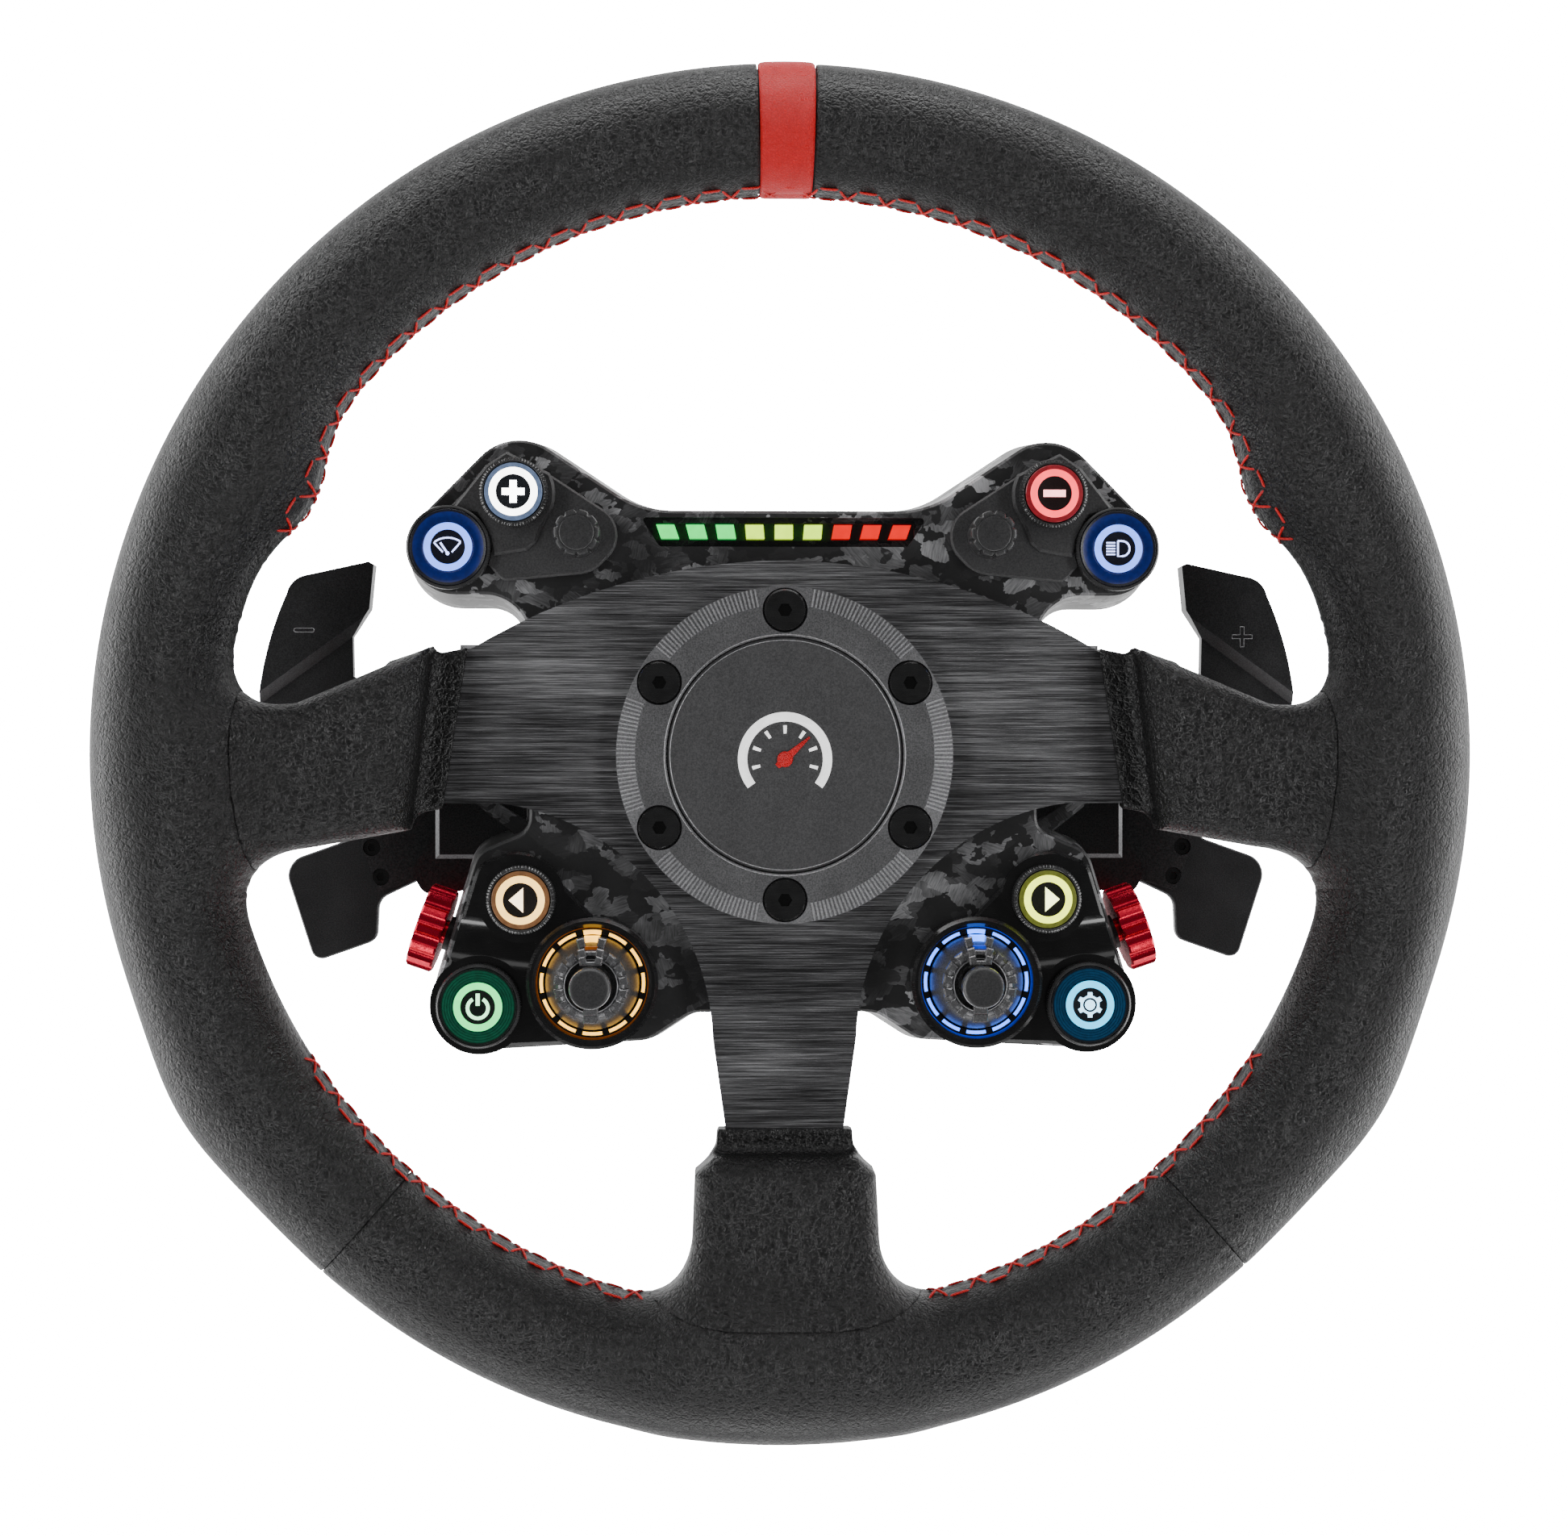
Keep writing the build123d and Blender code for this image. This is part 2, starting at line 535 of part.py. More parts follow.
def clutch_lever():
    face = make_face(Polyline((-82.0, -2.2), (-100.0, -2.2), (-107.8, -22.6), (-103.2, -35.2), (-88.2, -30.6),
                              (-88.2, -19.3), (-57.0, -18.5), (-57.0, -4.5), (-78.0, -4.5), (-82.0, -2.2)))
    lever = slab(face, LEVER_FRONT, LEVER_BACK) + knuckle(-19.7, -1.8) - knuckle(-22, 0, PIN_R + 0.06)
    for at in CLUTCH_SCREWS_AT:
        lever = lever - disc(at, 2.2, LEVER_FRONT, 50.0) - disc(at, 1.6, 50.0, LEVER_BACK)
    return soften(lever, front_edges(lever, LEVER_FRONT).filter_by(GeomType.LINE), 0.4)


def clutch_blade():
    face = rounded([(-92, -10, 2), (-108, -15, 4), (-111, -21.7, 2), (-128.4, -27.9, 5.5), (-120.2, -53.6, 3),
                    (-104.1, -48.0, 3.5), (-103.6, -37.4, 4), (-90, -31.0, 2)])
    blade = slab(face, LEVER_BACK, 55.0)
    blade = soften(blade, front_edges(blade, LEVER_BACK), 0.4)
    return cut_all(blade, discs(CLUTCH_SCREWS_AT, 1.5, LEVER_BACK, 55.0))


def clutch_screw(at):
    head = disc(at, 2.1, 48.6, 50.0) - slab(Pos(*at) * RegularPolygon(1.15, 6), 48.6, 49.5)
    return head + disc(at, 1.45, 50.0, 54.6)


# ---------------------------------------------------------------- everything, by node
def group(solids):
    return Compound(children=[s for shape in solids for s in shape.solids()])


def build():
    plate, face = spoke_plate(), module_outline()
    switch_places = [p for at in (PLUS_AT, WIPER_AT, ARROW_AT, POWER_AT) for p in (at, flip(at))]
    screw_places = [p for at in COVER_SCREWS_AT for p in (at, flip(at))]
    parts = {
        "spoke_plate": plate,
        "rim_foam": rim_foam(plate),
        "rim_leather": group(rim_leather(plate)),
        "centre_stripe": leather_panel(-STRIPE_HALF_DEG, 2 * STRIPE_HALF_DEG, plate, GRIP_R + 0.2),
        "spoke_boots": spoke_boots(plate),
        "hub_ring": hub_ring(),
        "badge_cap": badge_cap(),
        "hub_screws": group(hub_screw(at) for at in bolt_places()),
        "carbon_shell": carbon_shell(face),
        "rear_cover": rear_cover(face),
        "cover_screws": group(cover_screw(at) for at in screw_places),
        "hub_boss": hub_boss(),
        "connector": connector(),
        "circuit_boards": group([main_board(face), rev_board()]),
        "rev_window": rev_window(),
        "rev_lights": group(rev_light(i) for i in range(LIGHT_COUNT)),
        "upper_panels": both(upper_panel()),
        "lower_panels": both(lower_panel()),
        "button_switches": group(button_switch(at) for at in switch_places),
        "encoder_bodies": group([both(thumb_body(THUMB_AT)), both(stick_body(STICK_AT)),
                                 both(along_side_knob(side_body()))]),
        "knurled_bezels": group([both(bezel(PLUS_AT, UPPER_SEAT, SMALL_BUTTON_R)),
                                 both(bezel(ARROW_AT, LOWER_SEAT, SMALL_BUTTON_R))]),
        "ribbed_bezels": group([both(bezel(WIPER_AT, SHELL_FRONT, WIDE_BUTTON_R)),
                                both(bezel(POWER_AT, LOWER_SEAT, WIDE_BUTTON_R))]),
        "joystick_bezels": both(stick_bezel(STICK_AT)),
        "shifter_bases": both(shifter_base()),
        "paddle_pins": both(paddle_pin()),
        "paddle_magnets": both(group(discs(MAGNETS_AT, 3.0, 44.0, 47.7))),
    }
    caps = {"plus": (PLUS_AT, UPPER_SEAT, CAP_R), "wiper": (WIPER_AT, SHELL_FRONT, WIDE_CAP_R),
            "arrow_left": (ARROW_AT, LOWER_SEAT, CAP_R), "power": (POWER_AT, LOWER_SEAT, WIDE_CAP_R),
            "minus": (flip(PLUS_AT), UPPER_SEAT, CAP_R), "headlight": (flip(WIPER_AT), SHELL_FRONT, WIDE_CAP_R),
            "arrow_right": (flip(ARROW_AT), LOWER_SEAT, CAP_R), "settings": (flip(POWER_AT), LOWER_SEAT, WIDE_CAP_R)}
    for name, (at, seat, radius) in caps.items():
        parts["button_" + name] = button_cap(at, seat, radius)
    handed = {
        "thumb_knob": thumb_knob(THUMB_AT),
        "thumb_sleeve": thumb_sleeve(THUMB_AT),
        "joystick_light_ring": stick_light_ring(STICK_AT),
        "rotary_dial": rotary_dial(STICK_AT),
        "joystick_cap": stick_cap(STICK_AT),
        "joystick_gimbal": stick_gimbal(STICK_AT),
        "joystick_plunger": stick_plunger(STICK_AT),
        "side_knob": along_side_knob(side_knob()),
        "shift_lever": shift_lever(),
        "shift_blade": shift_blade(),
        "clutch_lever": clutch_lever(),
        "clutch_blade": clutch_blade(),
        "clutch_screws": group(clutch_screw(at) for at in CLUTCH_SCREWS_AT),
    }
    for name, shape in handed.items():
        parts[name + "_left"] = shape
        parts[name + "_right"] = mirrored(shape)
    return parts


os.makedirs("parts", exist_ok=True)
for node, shape in build().items():
    export_step(shape, f"parts/{node}.step")
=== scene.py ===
"""Looks of the racing wheel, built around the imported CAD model.

Everything is in metres in the CAD's frame: +Z up, the driver looks along +Y. The constants and outlines
below are in millimetres, with depth counted backwards from the middle plane of the rim.
"""

from math import cos, pi, radians, sin, sqrt

import bpy
import numpy as np
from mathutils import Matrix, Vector, noise


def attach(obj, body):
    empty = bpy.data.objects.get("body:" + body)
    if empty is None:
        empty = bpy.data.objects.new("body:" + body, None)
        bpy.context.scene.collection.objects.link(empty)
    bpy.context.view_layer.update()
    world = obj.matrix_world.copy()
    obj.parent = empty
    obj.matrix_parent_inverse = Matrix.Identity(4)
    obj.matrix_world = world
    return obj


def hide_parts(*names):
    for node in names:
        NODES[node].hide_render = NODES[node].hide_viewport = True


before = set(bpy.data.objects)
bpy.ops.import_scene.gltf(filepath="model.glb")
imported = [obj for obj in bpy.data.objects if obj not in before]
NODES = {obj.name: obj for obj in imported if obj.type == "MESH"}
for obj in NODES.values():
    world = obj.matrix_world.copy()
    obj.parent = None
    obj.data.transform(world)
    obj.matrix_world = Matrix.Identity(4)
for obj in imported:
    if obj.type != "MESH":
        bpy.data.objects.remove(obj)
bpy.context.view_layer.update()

MM = 0.001
REAR_FACE = 62.0        # depth of the rear mounting face, which is y = 0
RING_R = 149.45         # radius of the grip's centre circle
GRIP_R = 15.55          # radius of the leather-covered grip

# places on the front, left side, as (x, z)
PLUS_AT, WIPER_AT, THUMB_AT = (-65.5, 63.5), (-81.4, 50.3), (-50.0, 53.1)
ARROW_AT, POWER_AT, STICK_AT = (-63.7, -34.9), (-73.9, -60.5), (-46.5, -55.0)
SIDES = {"left": 1, "right": -1}


def flip(at, side=-1):
    """The place itself for side 1, and its mirror image for side -1."""
    return (at[0] * side, at[1])


# ================================================================ meshes
def to_metres(points):
    """An array of (x, depth, z) in millimetres, as metres in the frame."""
    return (np.asarray(points, float) - (0, REAR_FACE, 0)) * MM


def add_mesh(name, points, faces, materials, body="wheel", zones=None, flat=False):
    """A mesh piece from points (x, depth, z) in mm. zones gives each face's material number."""
    mesh = bpy.data.meshes.new(name)
    mesh.from_pydata(to_metres(points).tolist(), [], [tuple(map(int, f)) for f in faces])
    for material in materials if isinstance(materials, (list, tuple)) else [materials]:
        mesh.materials.append(material)
    if zones is not None:
        mesh.polygons.foreach_set("material_index", np.asarray(zones, dtype=np.int32))
    mesh.polygons.foreach_set("use_smooth", [not flat] * len(mesh.polygons))
    mesh.validate()
    obj = bpy.data.objects.new(name, mesh)
    bpy.context.scene.collection.objects.link(obj)
    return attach(obj, body)


def crease(obj, degrees=32):
    """Shades a mesh smooth, with hard edges where its faces meet at more than this angle."""
    mesh = obj.data
    limit = radians(degrees)
    normals = [f.normal.copy() for f in mesh.polygons]
    by_edge = {}
    for face in mesh.polygons:
        for key in face.edge_keys:
            by_edge.setdefault(key, []).append(face.index)
    for edge in mesh.edges:
        pair = by_edge.get(edge.key, [])
        edge.use_edge_sharp = len(pair) == 2 and normals[pair[0]].angle(normals[pair[1]], 0) > limit
    return obj


def joined(parts):
    """Stacks (points, faces) meshes into one."""
    points, faces, base = [], [], 0
    for part_points, part_faces in parts:
        points += [tuple(p) for p in part_points]
        faces += [tuple(i + base for i in f) for f in part_faces]
        base += len(part_points)
    return points, faces


def lathe(at, profile, count=96, wave=None):
    """A profile of (radius, depth) turned about Y at a place. wave(radius, depth, turn) changes both.

    Returns points and faces, with the faces row by row along the profile. A radius of 0 closes an end.
    """
    points, faces, rows = [], [], []
    for radius, depth in profile:
        if radius < 1e-6:
            rows.append([len(points)] * count)
            points.append((at[0], depth, at[1]))
            continue
        rows.append(list(range(len(points), len(points) + count)))
        for i in range(count):
            turn = 2 * pi * i / count
            r, d = wave(radius, depth, turn) if wave else (radius, depth)
            points.append((at[0] + r * sin(turn), d, at[1] + r * cos(turn)))
    for low, high in zip(rows, rows[1:]):
        for i in range(count):
            j = (i + 1) % count
            face = [low[i], high[i], high[j], low[j]]
            faces.append(tuple(dict.fromkeys(face)))
    return points, faces


def lathe_zones(zones, count):
    """One material number per face of a lathe, from one number per stretch of its profile."""
    return [zone for zone in zones for _ in range(count)]


def prism(outline, front, back, bevel=0.0):
    """An outline of (x, z) points made solid between two depths, with a bevel round its front."""
    outline = list(outline)
    count = len(outline)
    centre = np.mean(outline, axis=0)
    rings = []
    if bevel:
        inner = []
        for i, p in enumerate(outline):
            before, after = np.array(outline[i - 1]), np.array(outline[(i + 1) % count])
            along = (after - before) / max(np.linalg.norm(after - before), 1e-9)
            inward = np.array((-along[1], along[0]))
            if np.dot(inward, centre - np.array(p)) < 0:
                inward = -inward
            inner.append(tuple(np.array(p) + inward * bevel))
        rings.append((inner, front))
        rings.append((outline, front + bevel))
    else:
        rings.append((outline, front))
    rings.append((outline, back))
    points = [(x, depth, z) for ring, depth in rings for x, z in ring]
    faces = [tuple(range(count)), tuple(range(len(points) - 1, len(points) - count - 1, -1))]
    for k in range(len(rings) - 1):
        for i in range(count):
            j = (i + 1) % count
            faces.append((k * count + i, (k + 1) * count + i, (k + 1) * count + j, k * count + j))
    return points, faces


def arc(centre, radius, start, end, count):
    """Points (x, z) along an arc, with angles in degrees clockwise from the top."""
    turns = [radians(start + (end - start) * i / count) for i in range(count + 1)]
    return [(centre[0] + radius * sin(t), centre[1] + radius * cos(t)) for t in turns]


def ring_sector(centre, inner, outer, start, end, front, back, steps=10, bevel=0.08):
    outline = arc(centre, outer, start, end, steps) + arc(centre, inner, end, start, steps)
    return prism(outline, front, back, bevel)


def strands(name, lines, thickness, material, body="wheel", closed=False):
    """Round threads or strokes in mm through lists of (x, depth, z) points."""
    curve = bpy.data.curves.new(name, "CURVE")
    curve.dimensions = "3D"
    curve.bevel_depth = thickness / 2 * MM
    curve.bevel_resolution = 3
    curve.use_fill_caps = True
    for line in lines:
        spline = curve.splines.new("POLY")
        spline.points.add(len(line) - 1)
        for target, place in zip(spline.points, to_metres(line)):
            target.co = (*place, 1)
        spline.use_cyclic_u = closed
    curve.materials.append(material)
    obj = bpy.data.objects.new(name, curve)
    bpy.context.scene.collection.objects.link(obj)
    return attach(obj, body)


# ================================================================ material graphs
class Graph:
    """A material's node tree, with short calls to add nodes to it."""

    def __init__(self, name, **settings):
        self.material = bpy.data.materials.new(name)
        self.material.use_nodes = True
        self.tree = self.material.node_tree
        self.shader = self.tree.nodes["Principled BSDF"]
        self.coords = self.node("ShaderNodeTexCoord").outputs["Object"]
        self.set(**settings)

    def node(self, kind, **inputs):
        made = self.tree.nodes.new(kind)
        for name, value in inputs.items():
            if hasattr(made, name) and not isinstance(value, bpy.types.NodeSocket):
                setattr(made, name, value)
            else:
                self.feed(made.inputs[name.replace("_", " ")], value)
        return made

    def feed(self, socket, value):
        if isinstance(value, bpy.types.NodeSocket):
            self.tree.links.new(value, socket)
        elif socket.type == "RGBA" and len(value) == 3:
            socket.default_value = (*value, 1)
        else:
            socket.default_value = value

    def set(self, **settings):
        for name, value in settings.items():
            self.feed(self.shader.inputs[name.replace("_", " ")], value)

    def scaled(self, scale, turn=(0, 0, 0), coords=None):
        """The object's coordinates, turned and then stretched."""
        mapped = self.node("ShaderNodeMapping", Vector=coords or self.coords, Rotation=turn)
        mapped.inputs["Scale"].default_value = scale
        return mapped.outputs["Vector"]

    def noise(self, scale, detail=3.0, roughness=0.55, coords=None, distortion=0.0):
        made = self.node("ShaderNodeTexNoise", Vector=coords or self.coords, Scale=scale, Detail=detail,
                         Roughness=roughness, Distortion=distortion)
        return made.outputs["Fac"]

    def cells(self, scale, feature="F1", coords=None, output="Distance", randomness=1.0, metric="EUCLIDEAN"):
        made = self.node("ShaderNodeTexVoronoi", feature=feature, Vector=coords or self.coords, Scale=scale,
                         Randomness=randomness)
        if feature == "F1":
            made.distance = metric
        return made.outputs[output]

    def ramp(self, value, *stops):
        """A colour ramp from (place, colour) stops."""
        made = self.node("ShaderNodeValToRGB", Fac=value)
        ramp = made.color_ramp
        while len(ramp.elements) < len(stops):
            ramp.elements.new(0.5)
        for element, (place, colour) in zip(ramp.elements, stops):
            element.position = place
            element.color = (*colour, 1)
        return made.outputs["Color"]

    def span(self, value, low, high, start=0.0, end=1.0):
        """Carries start..end of a value to low..high."""
        made = self.node("ShaderNodeMapRange", Value=value)
        for name, number in (("From Min", start), ("From Max", end), ("To Min", low), ("To Max", high)):
            made.inputs[name].default_value = number
        return made.outputs["Result"]

    def math(self, operation, first, second=0.5):
        made = self.node("ShaderNodeMath", operation=operation)
        self.feed(made.inputs[0], first)
        self.feed(made.inputs[1], second)
        return made.outputs["Value"]

    def mix(self, factor, first, second, blend="MIX"):
        made = self.node("ShaderNodeMix", data_type="RGBA", blend_type=blend)
        self.feed(made.inputs[0], factor)
        self.feed(made.inputs[6], first)
        self.feed(made.inputs[7], second)
        return made.outputs[2]

    def warp(self, amount, scale, coords=None):
        """Coordinates pushed about by noise, so that straight patterns wander."""
        coords = coords or self.coords
        pushed = self.node("ShaderNodeTexNoise", Vector=coords, Scale=scale, Detail=2.0).outputs["Color"]
        centred = self.node("ShaderNodeVectorMath", operation="SUBTRACT")
        self.feed(centred.inputs[0], pushed)
        centred.inputs[1].default_value = (0.5, 0.5, 0.5)
        scaled = self.node("ShaderNodeVectorMath", operation="SCALE")
        self.feed(scaled.inputs[0], centred.outputs[0])
        scaled.inputs["Scale"].default_value = amount
        summed = self.node("ShaderNodeVectorMath", operation="ADD")
        self.feed(summed.inputs[0], coords)
        self.feed(summed.inputs[1], scaled.outputs[0])
        return summed.outputs[0]

    def bump(self, height, strength, distance, under=None):
        made = self.node("ShaderNodeBump", Height=height, Strength=strength, Distance=distance)
        if under is not None:
            self.feed(made.inputs["Normal"], under)
        return made.outputs["Normal"]

    def done(self, normal=None, **settings):
        if normal is not None:
            settings["Normal"] = normal
        self.set(**settings)
        return self.material


def grey(value):
    return (value, value, value * 1.03)


# ================================================================ materials
def leather(name, base, light, grain, gloss, wrinkles=0.25):
    """Grained leather. base and light are the colours of its creases and its high points: the creases are
    darker as painted shade, the high points lighter as painted light.
    """
    g = Graph(name)
    wander = g.warp(0.0016, 420)
    pebble = g.span(g.cells(grain, "DISTANCE_TO_EDGE", wander), 0, 1, 0.0, 0.22)
    small = g.span(g.cells(grain * 2.3, "DISTANCE_TO_EDGE", wander), 0, 1, 0.0, 0.3)
    worn = g.noise(70, 4)
    folds = g.noise(260, 5, 0.6, g.scaled((1, 1, 0.45)), 1.2)
    height = g.math("ADD", g.math("MULTIPLY", pebble, 0.6), g.math("MULTIPLY", small, 0.4))
    normal = g.bump(folds, wrinkles, 0.0016)
    normal = g.bump(height, 0.6, 0.0005, normal)
    normal = g.bump(g.noise(4200, 3), 0.16, 0.00015, normal)
    # painted shade and light: darker in the grain's creases, lighter on its high points
    colour = g.mix(g.span(height, 0.25, 1.0, 0.0, 0.9), base, light)
    colour = g.mix(g.span(worn, 0.0, 0.45, 0.35, 0.75), colour, base)
    rough = g.math("ADD", g.span(worn, gloss - 0.05, gloss + 0.07, 0.3, 0.7), g.span(height, 0.07, -0.02))
    return g.done(normal, Base_Color=colour, Roughness=rough, Specular_IOR_Level=0.42)


def brushed_metal():
    """Black anodised plate, brushed across: long light and dark streaks."""
    g = Graph("brushed_black", Metallic=0.85)
    fine = g.noise(1, 6, 0.62, g.scaled((60, 60, 4200)))
    coarse = g.noise(1, 4, 0.6, g.scaled((24, 24, 620)), 0.0)
    patch = g.noise(26, 2, 0.5, g.scaled((1, 1, 1.6)))
    streak = g.math("ADD", g.math("MULTIPLY", fine, 0.74), g.math("MULTIPLY", coarse, 0.26))
    streak = g.math("ADD", streak, g.span(patch, -0.05, 0.05, 0.3, 0.7))
    colour = g.ramp(streak, (0.38, grey(0.02)), (0.48, grey(0.09)), (0.57, grey(0.26)), (0.68, grey(0.75)))
    normal = g.bump(streak, 0.4, 0.0003)
    return g.done(normal, Base_Color=colour, Roughness=g.span(streak, 0.5, 0.3, 0.35, 0.65), Anisotropic=0.5)


def satin_metal(name, value, rough=0.4, metallic=0.8, speckle=2600):
    """Bead-blasted, anodised metal."""
    g = Graph(name, Metallic=metallic)
    grit = g.noise(speckle, 3)
    smudge = g.noise(90, 3)
    colour = g.mix(g.span(grit, 0, 1, 0.35, 0.7), grey(value * 0.7), grey(value * 1.4))
    normal = g.bump(grit, 0.25, 0.00008)
    return g.done(normal, Base_Color=colour, Roughness=g.span(smudge, rough - 0.05, rough + 0.06, 0.3, 0.7))


def turned_metal(name, colour, rough=0.28, scale=9000):
    """Bright turned metal, with fine marks left by the tool."""
    g = Graph(name, Metallic=1.0)
    marks = g.noise(1, 3, 0.5, g.scaled((scale, scale * 0.1, scale)))
    dull = g.noise(160, 3)
    shade = g.mix(g.span(dull, 0.1, 0.55, 0.3, 0.7), colour, [c * 0.62 for c in colour])
    normal = g.bump(marks, 0.2, 0.00006)
    return g.done(normal, Base_Color=shade, Roughness=g.span(marks, rough - 0.06, rough + 0.08, 0.3, 0.7))


def forged_carbon():
    """Chopped carbon flakes pressed in resin: each flake has its own direction of fibre and its own shade,
    which is painted sheen, the light its fibres catch at their angle.
    """
    g = Graph("forged_carbon", Coat_Roughness=0.22, Coat_Weight=0.35)
    shades = []
    for number, (scale, amount) in enumerate(((150, 0.006), (210, 0.005))):
        bent = g.warp(amount, 260, g.scaled((1, 1, 1.35), (0.2, 0.7 + number, 0.4)))
        cell = g.cells(scale, coords=bent, output="Color", metric="CHEBYCHEV")
        parts = g.node("ShaderNodeSeparateColor", Color=cell)
        turned = g.node("ShaderNodeVectorRotate", rotation_type="Y_AXIS", Vector=g.coords)
        g.feed(turned.inputs["Angle"], g.math("MULTIPLY", parts.outputs[1], 6.28))
        fibre = g.noise(1, 4, 0.65, g.scaled((2600, 300, 260), coords=turned.outputs[0]))
        # painted sheen: each flake's shade, streaked along its fibres
        shade = g.math("POWER", parts.outputs[0], 2.6)
        shades.append((g.math("MULTIPLY", shade, g.span(fibre, 0.45, 1.25, 0.3, 0.7)), parts.outputs[2]))
    top = g.span(shades[1][1], 0, 1, 0.60, 0.62)
    shade = g.mix(top, shades[0][0], shades[1][0])
    cloud = g.noise(48, 3)
    shade = g.math("MULTIPLY", shade, g.span(cloud, 0.25, 1.3, 0.36, 0.66))
    colour = g.ramp(shade, (0.0, grey(0.016)), (0.12, grey(0.035)), (0.36, grey(0.15)), (1.0, grey(0.5)))
    grit = g.noise(3300, 3)
    normal = g.bump(grit, 0.22, 0.0001)
    return g.done(normal, Base_Color=colour, Metallic=0.25, Roughness=g.span(shade, 0.5, 0.34, 0.0, 0.8))


def moulded(name, value, rough=0.5, grit=2400, strength=0.3, tint=(1, 1, 1.03)):
    """Moulded plastic with a fine spark-eroded texture."""
    g = Graph(name)
    texture = g.noise(grit, 4, 0.65)
    smudge = g.noise(120, 3)
    shade = [value * c for c in tint]
    colour = g.mix(g.span(texture, 0, 1, 0.35, 0.72), [c * 0.6 for c in shade], [c * 1.5 for c in shade])
    normal = g.bump(texture, strength, 0.00012)
    return g.done(normal, Base_Color=colour, Roughness=g.span(smudge, rough - 0.06, rough + 0.08, 0.3, 0.7))


def gloss(name, value, rough=0.16):
    """Polished black moulding with faint flow and fine scratches."""
    g = Graph(name, Coat_Weight=0.5, Coat_Roughness=0.1)
    flow = g.noise(240, 3, 0.5)
    scratch = g.noise(1, 2, 0.5, g.scaled((300, 300, 5200), (0, 0.6, 0)))
    normal = g.bump(flow, 0.05, 0.0006)
    normal = g.bump(scratch, 0.03, 0.00008, normal)
    colour = g.mix(g.span(flow, 0, 1, 0.3, 0.7), grey(value * 0.7), grey(value * 1.3))
    return g.done(normal, Base_Color=colour, Roughness=g.span(scratch, rough, rough + 0.12, 0.4, 0.7))


def anodised(name, colour):
    """Bright coloured anodising over machined aluminium."""
    g = Graph(name, Metallic=0.9)
    marks = g.noise(1, 3, 0.5, g.scaled((1400, 9000, 1400)))
    shade = g.mix(g.span(marks, 0, 1, 0.35, 0.65), colour, [c * 0.7 for c in colour])
    normal = g.bump(marks, 0.12, 0.00006)
    return g.done(normal, Base_Color=shade, Roughness=g.span(marks, 0.2, 0.34, 0.35, 0.65))


def lit(name, colour, strength, body=None):
    """Light-guide plastic that glows, a little brighter where the light sits behind it."""
    g = Graph(name, Roughness=0.25)
    spread = g.noise(520, 2)
    shade = g.mix(g.span(spread, 0.0, 0.55, 0.3, 0.7), colour, [c * 0.72 for c in colour])
    body = body or [c * 0.5 for c in colour]
    return g.done(Base_Color=body, Emission_Color=shade, Emission_Strength=strength)


def tinted(name, colour, glow, value=0.3):
    """Dark translucent plastic with a little of the button's light in it."""
    g = Graph(name, Coat_Weight=0.4, Coat_Roughness=0.15)
    cloud = g.noise(900, 3)
    dark, bright = [c * value * 0.7 for c in colour], [c * value for c in colour]
    shade = g.mix(g.span(cloud, 0, 1, 0.35, 0.65), dark, bright)
    normal = g.bump(g.noise(3600, 2), 0.12, 0.00008)
    return g.done(normal, Base_Color=shade, Emission_Color=shade, Emission_Strength=glow, Roughness=0.32)


def thread(name, colour):
    """Waxed thread: twisted plies show as slanted bands."""
    g = Graph(name)
    plies = g.node("ShaderNodeTexWave", Vector=g.coords, Scale=900.0, Distortion=6.0,
                   bands_direction="DIAGONAL")
    shade = g.mix(plies.outputs["Fac"], [c * 0.55 for c in colour], colour)
    normal = g.bump(plies.outputs["Fac"], 0.5, 0.00025)
    return g.done(normal, Base_Color=shade, Roughness=0.5)


def board_green():
    g = Graph("board_green")
    tracks = g.cells(420, metric="MANHATTAN")
    shade = g.ramp(tracks, (0.3, (0.004, 0.05, 0.02)), (0.45, (0.01, 0.1, 0.04)), (0.5, (0.004, 0.05, 0.02)))
    return g.done(g.bump(tracks, 0.1, 0.0001), Base_Color=shade, Roughness=0.35)


def smoked_lens():
    g = Graph("smoked_lens", Alpha=0.38, Coat_Weight=0.6)
    dust = g.noise(1500, 3)
    shade = g.mix(dust, grey(0.004), grey(0.012))
    return g.done(Base_Color=shade, Roughness=g.span(dust, 0.08, 0.2, 0.3, 0.7))


def paper(name, value, strength):
    """Seamless studio paper, lit from behind so that it stays bright."""
    g = Graph(name, Roughness=0.9)
    fibres = g.noise(300, 4)
    shade = g.mix(g.span(fibres, 0, 1, 0.3, 0.7), (value,) * 3, (value * 0.98,) * 3)
    return g.done(Base_Color=shade, Emission_Color=shade, Emission_Strength=strength)


BLACK_LEATHER = leather("leather_rim", grey(0.002), grey(0.011), 600, 0.33, 0.10)
BOOT_LEATHER = leather("leather_boot", grey(0.002), grey(0.010), 520, 0.33, 0.14)
RED_LEATHER = leather("leather_red", (0.55, 0.003, 0.005), (0.86, 0.008, 0.012), 1500, 0.38, 0.1)
RED_THREAD = thread("thread_red", (0.9, 0.006, 0.008))
BRUSHED = brushed_metal()
SATIN = satin_metal("satin_black", 0.19, 0.44)
